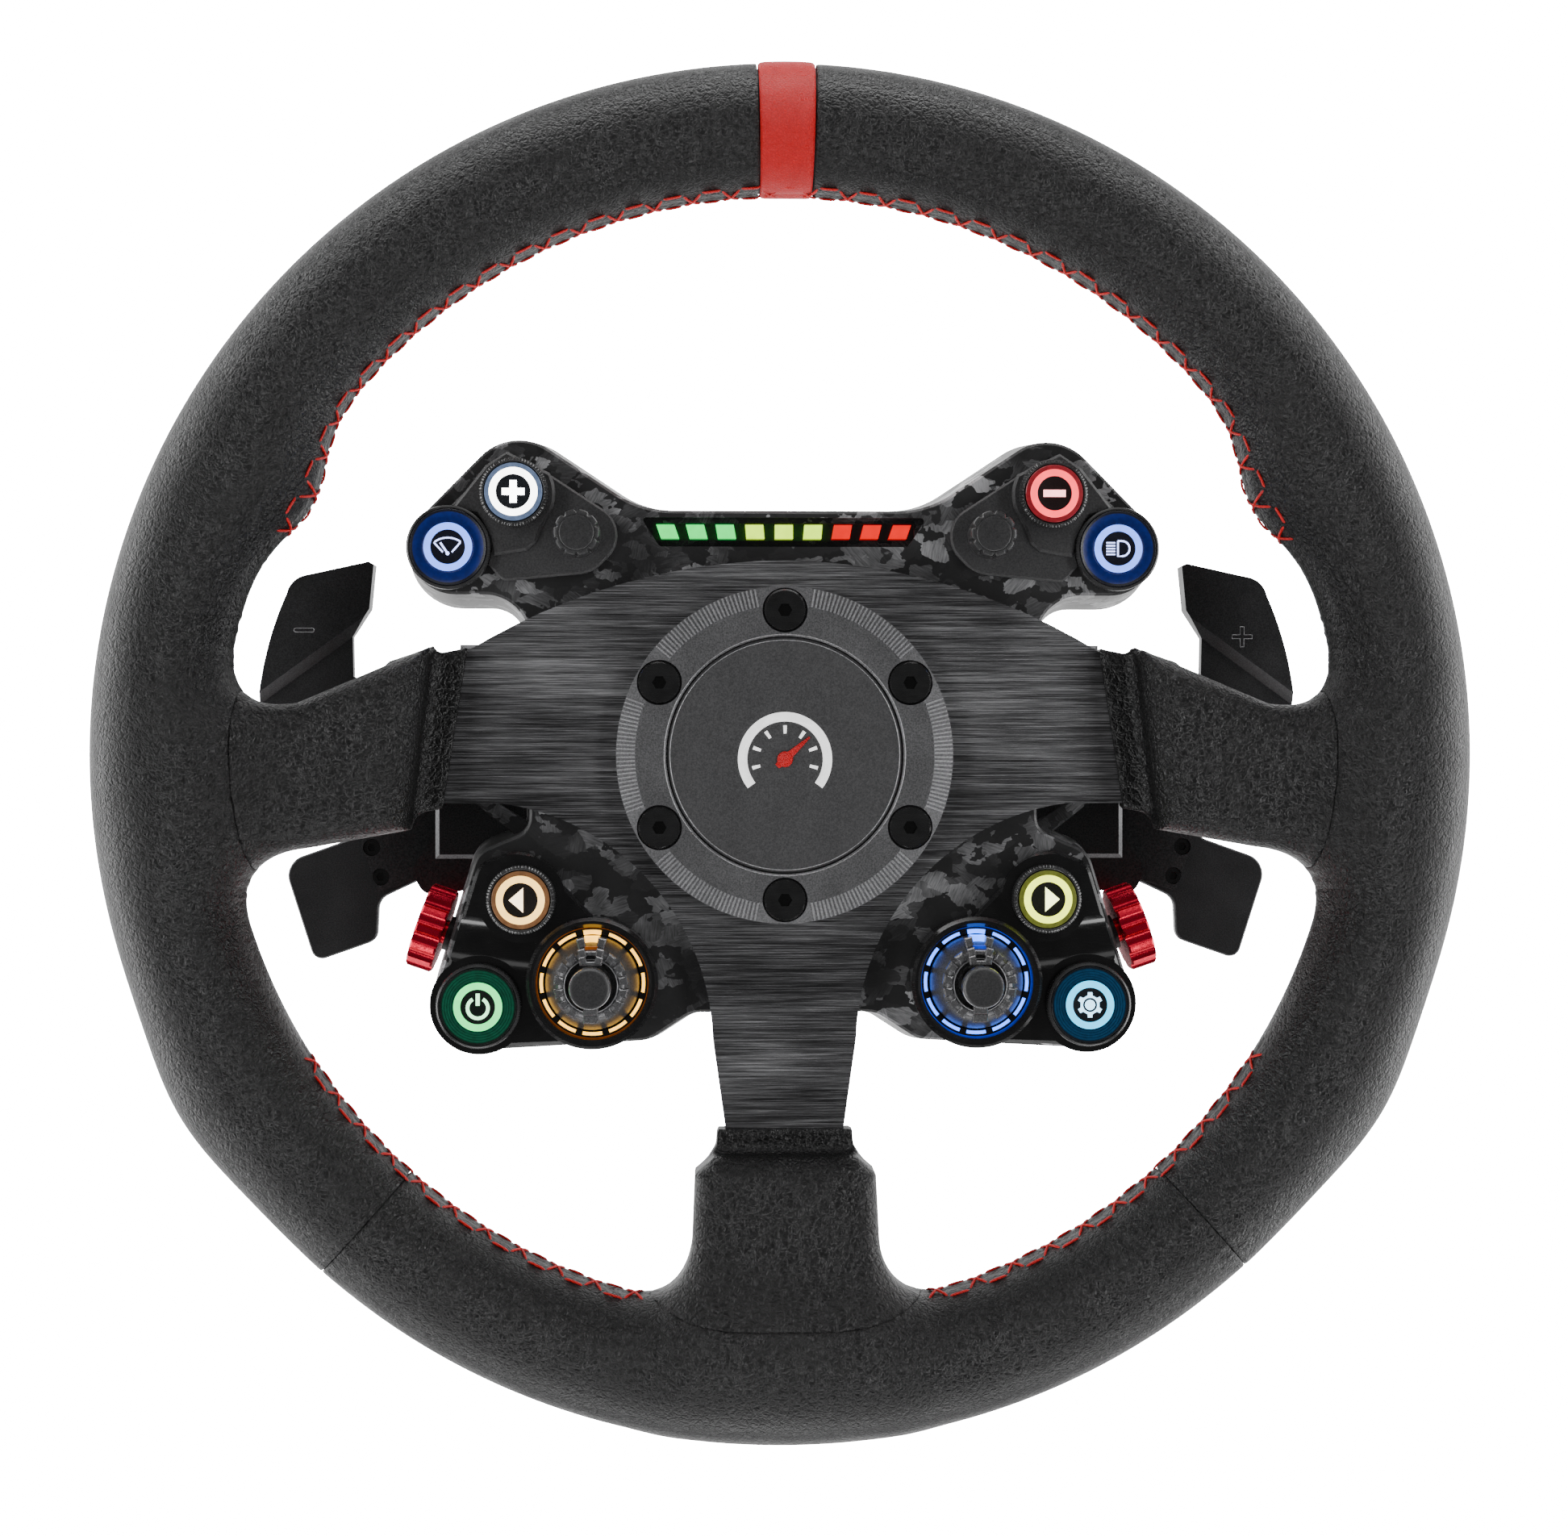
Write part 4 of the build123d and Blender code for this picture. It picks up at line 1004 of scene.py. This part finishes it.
def button_cap(name, at, seat, wide, dished, colour, glow, sign_glow):
    """The moving cap: a tinted flange, a ring of light, a dark middle, and the lit sign on it."""
    front = seat - 4.6
    if not wide:
        flange = [(7.0, seat - 2.5), (7.0, front + 0.5), (6.85, front + 0.3), (5.9, front + 0.12)]
    elif dished:
        flange = [(9.3, seat - 2.5), (9.3, front + 0.55), (9.15, front + 0.4), (8.6, front + 0.62),
                  (7.6, front + 0.95), (6.6, front + 1.05), (6.25, front + 0.95)]
    else:
        flange = [(9.3, seat - 2.5), (9.3, front + 0.7)]
        for step in range(5):
            edge = 9.2 - step * 0.62
            flange += [(edge, front + 0.62 - step * 0.05), (edge - 0.42, front + 0.6 - step * 0.05),
                       (edge - 0.46, front + 0.78 - step * 0.05), (edge - 0.6, front + 0.76 - step * 0.05)]
    lit_ring = [(5.88, front + 0.02), (5.75, front - 0.06), (4.3, front - 0.06), (4.18, front)]
    middle = [(4.1, front + 0.16), (3.95, front + 0.2), (2.0, front + 0.17), (0, front + 0.16)]
    profile = flange + lit_ring + middle
    count = 96
    edge_rows = 3 if wide else 1
    stretches = [2] * edge_rows + [0] * (len(flange) - edge_rows) + [1] * (len(lit_ring) - 1)
    stretches += [2] * len(middle)
    dark = moulded("button_middle_" + name, 0.012, 0.3, 3000, 0.1, [0.5 + c for c in colour])
    materials = [tinted("flange_" + name, colour, 0.4 if wide else 2.2, 0.16), glow, dark]
    points, faces = lathe(at, profile, count)
    skirt, stem_radius, stem_end = 9.3 if wide else 7.0, 3.0, 16.3
    stem_profile = [(skirt, seat - 2.5), (stem_radius, seat - 2.5), (stem_radius, stem_end), (0, stem_end)]
    stem = lathe(at, stem_profile, count)
    zones = lathe_zones(stretches, count) + [2] * len(stem[1])
    cap = add_mesh(f"cap_{name}", *joined([(points, faces), stem]), materials, "button_" + name, zones)
    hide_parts("button_" + name)
    crease(cap, 25)
    shapes = icon_shapes(name)
    parts = [prism([(at[0] + x, at[1] + z) for x, z in shape], front + 0.06, front + 0.3) for shape in shapes]
    sign = add_mesh(f"sign_{name}", *joined(parts), sign_glow, "button_" + name, flat=True)
    if name == "settings":
        hub = ring_sector(at, 1.35, 1.75, 0, 359.9, front + 0.02, front + 0.2, 40)
        add_mesh("sign_settings_hub", *hub, dark, "button_settings", flat=True)


def make_buttons():
    plus, wiper, arrow, power = 10.0, 12.0, 8.0, 8.0
    rows = [
        # name, place, seat, wide, dished, flange colour, light colour, strength, slot
        ("plus", PLUS_AT, plus, False, False, (0.35, 0.5, 0.85), (1.0, 1.0, 1.0), 8.0, "cap_white"),
        ("wiper", WIPER_AT, wiper, True, True, (0.0, 0.06, 0.7), (0.13, 0.26, 1.0), 3.4, "cap_blue"),
        ("arrow_left", ARROW_AT, arrow, False, False, (0.55, 0.25, 0.1), (1.0, 0.6, 0.16), 3.6, "cap_amber"),
        ("power", POWER_AT, power, True, False, (0.0, 0.4, 0.2), (0.07, 1.0, 0.24), 2.4, "cap_green"),
        ("minus", flip(PLUS_AT), plus, False, False, (0.7, 0.03, 0.05), (1.0, 0.05, 0.07), 3.4, "cap_red"),
        ("headlight", flip(WIPER_AT), wiper, True, True, (0.0, 0.06, 0.7), (0.13, 0.26, 1.0), 3.4,
         "cap_blue"),
        ("arrow_right", flip(ARROW_AT), arrow, False, False, (0.35, 0.4, 0.05), (0.85, 1.0, 0.06), 3.6,
         "cap_yellow"),
        ("settings", flip(POWER_AT), power, True, False, (0.0, 0.2, 0.5), (0.03, 0.6, 1.0), 2.8, "cap_cyan"),
    ]
    for name, at, seat, wide, dished, tint, colour, strength, slot in rows:
        outer, bore = (10.2, 9.45) if wide else (8.4, 7.12)
        button_bezel(name, at, seat, outer, bore, not wide)
        ring_glow = lit("light_" + name, colour, strength)
        sign_glow = lit("sign_" + name, [0.35 + 0.65 * c for c in colour], strength * 1.5)
        button_cap(name, at, seat, wide, dished, tint, ring_glow, sign_glow)


# ================================================================ rev lights
def make_rev_lights():
    """Nine light guides in the smoked window, green, yellow-green and red. The end ones lean outwards."""
    colours = [lit("rev_green", (0.0, 0.9, 0.13), 2.0), lit("rev_yellow", (0.62, 1.0, 0.02), 2.4),
               lit("rev_red", (1.0, 0.0, 0.0), 1.2)]
    for k in range(9):
        place = k - 4
        x, lean = place * 7.1, 0.15 * place
        outline = []
        for side, up in ((-1, 1), (1, 1), (1, -1), (-1, -1)):
            outline.append((x + 2.2 * side + lean * up, 54.6 + 1.7 * up))
        light = add_mesh(f"rev_light_{k + 1}", *prism(outline, 12.4, 16.0, 0.15), colours[k // 3], flat=True)
        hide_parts("rev_lights")


# ================================================================ knobs and joysticks
def make_thumb_knob(side, sign):
    """A small encoder knob: a flat top, scalloped sides, and its shaft."""
    at = flip(THUMB_AT, sign)
    profile = [(0, -1.55), (3.9, -1.6), (4.15, -1.5), (4.25, -1.38), (4.35, -1.5), (4.9, -1.45),
               (5.35, -1.2), (5.6, -0.7), (5.6, 1.6), (5.62, 4.2), (5.5, 4.6), (5.55, 5.0), (5.6, 6.5),
               (5.3, 6.8), (2.45, 6.8),
               (2.45, 15.0), (0, 15.0)]

    def scallops(radius, depth, turn):
        if radius < 4.6 or depth > 4.3:
            return radius, depth
        dip = max(0.0, cos(10 * turn)) ** 3
        return radius - 0.62 * dip * min(1, (radius - 4.5) / 0.8), depth

    knob = add_mesh(f"encoder_knob_{side}", *lathe(at, profile, 200, scallops), KNOB, f"thumb_knob_{side}")
    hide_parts(f"thumb_knob_{side}")
    crease(knob, 30)


def make_light_ring(side, sign, glow, tint):
    """The joystick's light ring: a dark tinted lens with eleven dashes and a gate of light at the top."""
    at = flip(STICK_AT, sign)
    profile = [(11.6, 8.0), (11.6, 6.3), (11.75, 6.1), (13.3, 6.0), (13.5, 6.15), (13.5, 8.0), (11.6, 8.0)]
    stretches = [0, 0, 0, 1, 1, 1]
    lens = add_mesh(f"light_ring_{side}", *lathe(at, profile, 128), [GLOSS, tint], "wheel",
                    lathe_zones(stretches, 128))
    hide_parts(f"joystick_light_ring_{side}")
    crease(lens)
    parts = [ring_sector(at, 11.95, 12.75, 30 * k - 11.0, 30 * k + 11.0, 5.9, 6.12, 10) for k in range(1, 12)]
    parts.append(ring_sector(at, 11.75, 12.85, -10.0, 10.0, 5.7, 5.95, 10))
    dashes = add_mesh(f"light_dashes_{side}", *joined(parts), glow)


def frustum_block(at, turn, inner, outer, width, front, back, lean=0.0, bevel=0.22):
    """A block of a crown: radial limits, width across and depths, with bevelled front edges.

    lean widens the block's outer end. turn is in degrees clockwise from the top.
    """
    turn = radians(turn)
    half_in, half_out = width / 2, width / 2 + lean
    rows = []
    for depth, cutback in ((back, 0), (front + bevel, 0), (front, bevel)):
        ring = [(inner + cutback, -half_in + cutback), (outer - cutback, -half_out + cutback),
                (outer - cutback, half_out - cutback), (inner + cutback, half_in - cutback)]
        rows.append([(at[0] + r * sin(turn) + s * cos(turn), depth, at[1] + r * cos(turn) - s * sin(turn))
                     for r, s in ring])
    points = [p for row in rows for p in row]
    faces = [(3, 2, 1, 0), (8, 9, 10, 11)]
    for k in (0, 4):
        faces += [(k + i, k + (i + 1) % 4, k + 4 + (i + 1) % 4, k + 4 + i) for i in range(4)]
    return points, faces


def make_joystick_dial(side, sign, glow, lens):
    """The turning dial: a tapered skirt, a crown of blocks, a pointer frame on top and a clip below."""
    at = flip(STICK_AT, sign)
    body = f"joystick_dial_{side}"
    profile = [(5.3, 15.0), (5.3, 7.8), (11.25, 7.8), (11.4, 7.0), (11.35, 5.4), (11.0, 4.3), (9.9, 1.8),
               (8.6, -0.9), (8.1, -1.7), (7.7, -2.1), (6.7, -2.3), (6.5, -2.7), (6.45, -3.3), (6.25, -3.4),
               (6.15, -3.1), (6.2, 4.0), (4.6, 4.0), (4.6, 15.0), (5.3, 15.0)]
    dial = add_mesh(f"dial_{side}", *lathe(at, profile, 160), DIAL, body)
    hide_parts(f"rotary_dial_{side}")
    crease(dial, 40)
    blocks = [frustum_block(at, 36 + 288 / 13 * k, 6.6, 8.9, 1.75, -3.0, 0.2, 0.3, 0.45)
              for k in range(14) if k not in (6, 7)]
    crown = add_mesh(f"dial_crown_{side}", *joined(blocks), DIAL_EDGE, body, flat=True)
    # the pointer: two arms with a step in them, joined by two bars
    frame_parts = []
    for turn in (-17, 17):
        frame_parts.append(frustum_block(at, turn, 5.4, 7.3, 1.6, -4.4, -2.0, 0.05, 0.2))
        frame_parts.append(frustum_block(at, turn * 0.88, 7.1, 9.1, 1.7, -3.6, -0.4, 0.05, 0.25))
        frame_parts.append(frustum_block(at, turn * 0.8, 9.0, 11.5, 1.8, -0.8, 5.6, 0.1, 0.3))
    frame_parts.append(frustum_block(at, 0, 4.9, 5.9, 5.2, -4.3, -3.0, 0.1, 0.15))
    frame_parts.append(frustum_block(at, 0, 7.2, 8.3, 3.0, -3.2, -1.0, 0.1, 0.2))
    frame_parts.append(frustum_block(at, 180, 5.0, 6.9, 3.5, -4.4, -2.2, 0.0, 0.25))
    frame_parts.append(frustum_block(at, 180, 6.8, 8.9, 3.5, -3.7, -0.4, 0.1, 0.3))
    pointer = add_mesh(f"dial_pointer_{side}", *joined(frame_parts), DIAL_EDGE, body, flat=True)
    for name, material, block in (("dial_glow", glow, (9.7, 11.45, 3.3, 2.2, 5.6, 0.15, 0.15)),
                                  ("dial_lens", lens, (8.3, 9.3, 3.0, -1.0, 2.4, 0.05, 0.1))):
        guide = add_mesh(f"{name}_{side}", *frustum_block(at, 0, *block), material, body, flat=True)


def make_stick_cap(side, sign):
    """The joystick's cap on its stem and ball, with a thin bright rim."""
    at = flip(STICK_AT, sign)
    ball = [(2.4 * sin(t), 12 - 2.4 * cos(t)) for t in np.linspace(1.0, pi, 10)]
    profile = [(0, -9.75), (3.9, -9.72), (4.3, -9.85), (4.6, -10.0), (4.8, -9.95), (5.0, -9.6), (5.0, -7.4),
               (4.6, -6.8), (2.0, -6.6), (2.0, 10.6)] + ball
    rim_rows = (3, 4)
    count = 96
    zones = [1 if k in rim_rows else 0 for k in range(len(profile) - 1)]
    points, faces = lathe(at, profile, count)
    cap = add_mesh(f"stick_{side}", points, faces, [KNOB, CAP_RIM], f"joystick_stick_{side}",
                   lathe_zones(zones, count))
    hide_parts(f"joystick_cap_{side}")
    crease(cap, 30)


def make_controls():
    lights = {"left": ((1.0, 0.5, 0.04), (0.8, 0.18, 0.0), 4.6),
              "right": ((0.04, 0.18, 1.0), (0.0, 0.06, 1.0), 6.0)}
    for side, sign in SIDES.items():
        colour, deep, strength = lights[side]
        glow = lit(f"dash_{side}", colour, strength)
        lens = tinted(f"lens_{side}", deep, 0.9 if side == "left" else 2.4, 0.3)
        make_thumb_knob(side, sign)
        make_light_ring(side, sign, glow, lens)
        make_joystick_dial(side, sign, glow, lens)
        make_stick_cap(side, sign)


# ================================================================ panels and paddles
def make_panel_steps():
    """The raised part of each upper panel, which carries the plus or minus button, with a sloping edge."""
    for side, sign in SIDES.items():
        outline = [(-67.3, 73.6)] + arc((-65.5, 63.5), 9.9, 60, 118, 10) + [(-58.6, 55.6), (-60.2, 51.6)]
        outline += [(-62.6, 49.6), (-70.5, 48.3), (-71.6, 52.4), (-74.6, 58.4), (-80.4, 60.0), (-72.5, 70.2)]
        outline = [flip(p, sign) for p in outline]
        if sign > 0:
            outline = outline[::-1]
        step = add_mesh(f"panel_step_{side}", *prism(outline, 9.0, 10.1, 0.7), PANEL, flat=True)


def make_paddle_signs():
    """Thin engraved outlines on the shift paddles: a bar on the left, a cross on the right."""
    half_bar, half_long = 0.5, 2.6
    minus = arc((-121.2 + half_long - half_bar, 31.8), half_bar, 0, 180, 6)
    minus += arc((-121.2 - half_long + half_bar, 31.8), half_bar, 180, 360, 6) + minus[:1]
    cross = [(-half_bar, half_long), (half_bar, half_long), (half_bar, half_bar), (half_long, half_bar),
             (half_long, -half_bar), (half_bar, -half_bar), (half_bar, -half_long), (-half_bar, -half_long),
             (-half_bar, -half_bar), (-half_long, -half_bar), (-half_long, half_bar), (-half_bar, half_bar)]
    plus = [(119.2 + x, 30.5 + z) for x, z in cross + cross[:1]]
    for side, outline in (("left", minus), ("right", plus)):
        sign = strands(f"paddle_sign_{side}", [[(px, 41.58, pz) for px, pz in outline]], 0.22, SATIN_BRIGHT,
                       f"shift_paddle_{side}")


make_hub_ridges()
make_emblem()
make_buttons()
make_rev_lights()
make_controls()
make_panel_steps()
make_paddle_signs()


# ================================================================ carried-over CAD parts
CAD_MATERIALS = {
    "rim_foam": COVER, "spoke_plate": BRUSHED, "hub_ring": SATIN, "badge_cap": BADGE, "hub_screws": SCREW,
    "carbon_shell": CARBON, "rear_cover": COVER, "cover_screws": SCREW, "hub_boss": HUB_METAL,
    "connector": BRASS, "circuit_boards": PCB, "rev_window": LENS, "rev_lights": PANEL,
    "upper_panels": PANEL, "lower_panels": GLOSS,
    "button_switches": PANEL, "encoder_bodies": PANEL, "knurled_bezels": KNURL, "ribbed_bezels": KNURL,
    "joystick_bezels": GLOSS, "shifter_bases": HUB_METAL, "paddle_pins": STEEL, "paddle_magnets": MAGNET,
}
HANDED_MATERIALS = {
    "thumb_knob": KNOB, "thumb_sleeve": STEEL, "joystick_light_ring": GLOSS, "rotary_dial": DIAL,
    "joystick_cap": KNOB, "joystick_gimbal": STEEL, "joystick_plunger": STEEL, "side_knob": RED_METAL,
    "shift_lever": HUB_METAL, "shift_blade": PADDLE, "clutch_lever": HUB_METAL, "clutch_blade": PADDLE,
    "clutch_screws": SCREW,
}


def dress_cad_parts():
    """Gives each CAD node its material."""
    materials = dict(CAD_MATERIALS)
    for side in SIDES:
        materials.update({f"{name}_{side}": material for name, material in HANDED_MATERIALS.items()})
    for name, obj in NODES.items():
        material = materials.get(name, GLOSS)
        obj.data.materials.clear()
        obj.data.materials.append(material)


dress_cad_parts()


# ================================================================ studio
RIM_PLANE = -0.062


def make_tent():
    """A pale floor and a round wall in one sweep. It is only seen, and doesn't light the wheel."""
    wall = [(2200 + 400 * sin(turn), -20 - 400 * cos(turn)) for turn in np.linspace(0, pi / 2, 10)]
    profile = [(0, -420), (1100, -420)] + wall + [(2600, 2600), (0, 2600)]
    count = 64
    points = [(radius * cos(2 * pi * k / count), REAR_FACE + radius * sin(2 * pi * k / count), z)
              for radius, z in profile for k in range(count)]
    faces = [(row * count + k, row * count + (k + 1) % count, (row + 1) * count + (k + 1) % count,
              (row + 1) * count + k) for row in range(len(profile) - 1) for k in range(count)]
    tent = add_mesh("studio_tent", points, faces, paper("studio_paper", 0.9, 30.0))
    for kind in ("diffuse", "glossy", "transmission", "volume_scatter", "shadow"):
        setattr(tent, "visible_" + kind, False)


def add_light(name, place, aim, size, radiance):
    """A soft rectangular light. size is its width and height in metres."""
    lamp = bpy.data.lights.new(name, "AREA")
    lamp.shape = "RECTANGLE"
    lamp.size, lamp.size_y = size
    lamp.energy = radiance * pi * size[0] * size[1]
    obj = bpy.data.objects.new(name, lamp)
    bpy.context.scene.collection.objects.link(obj)
    obj.visible_camera = False
    obj.location = place
    obj.rotation_euler = (Vector(aim) - Vector(place)).to_track_quat("-Z", "Y").to_euler()


def make_lights():
    centre = (0, RIM_PLANE, 0)
    add_light("backlight", (0, 0.9, 0), centre, (2.0, 2.0), 1.7)
    add_light("left_panel", (-0.85, 0.24, 0), centre, (0.55, 1.5), 4.2)
    add_light("right_panel", (0.85, 0.24, 0), centre, (0.55, 1.5), 4.0)
    add_light("overhead", (0, 0.02, 0.9), centre, (1.3, 0.6), 4.2)
    add_light("underneath", (0, 0.1, -0.8), centre, (1.2, 0.5), 2.2)
    add_light("front_left", (-0.9, -0.6, -0.05), centre, (0.2, 1.5), 9.0)
    add_light("front_right", (0.9, -0.6, -0.05), centre, (0.2, 1.5), 9.0)
    add_light("front_low", (0, -0.6, -0.95), centre, (1.3, 0.2), 7.0)
    add_light("front_high", (0, -0.8, 0.85), centre, (0.9, 0.3), 1.1)
    world = bpy.data.worlds.new("studio")
    bpy.context.scene.world = world
    world.use_nodes = True
    world.node_tree.nodes["Background"].inputs["Color"].default_value = (1, 1, 1, 1)
    world.node_tree.nodes["Background"].inputs["Strength"].default_value = 0.09


def make_camera():
    camera = bpy.data.cameras.new("camera")
    camera.lens, camera.sensor_width = 57.47, 36.0
    obj = bpy.data.objects.new("camera", camera)
    bpy.context.scene.collection.objects.link(obj)
    place, aim = Vector((-0.02094, RIM_PLANE - 0.59963, 0)), Vector((-0.0004, RIM_PLANE, -0.0031))
    obj.location = place
    obj.rotation_euler = (aim - place).to_track_quat("-Z", "Y").to_euler()
    bpy.context.scene.camera = obj


make_tent()
make_lights()
make_camera()
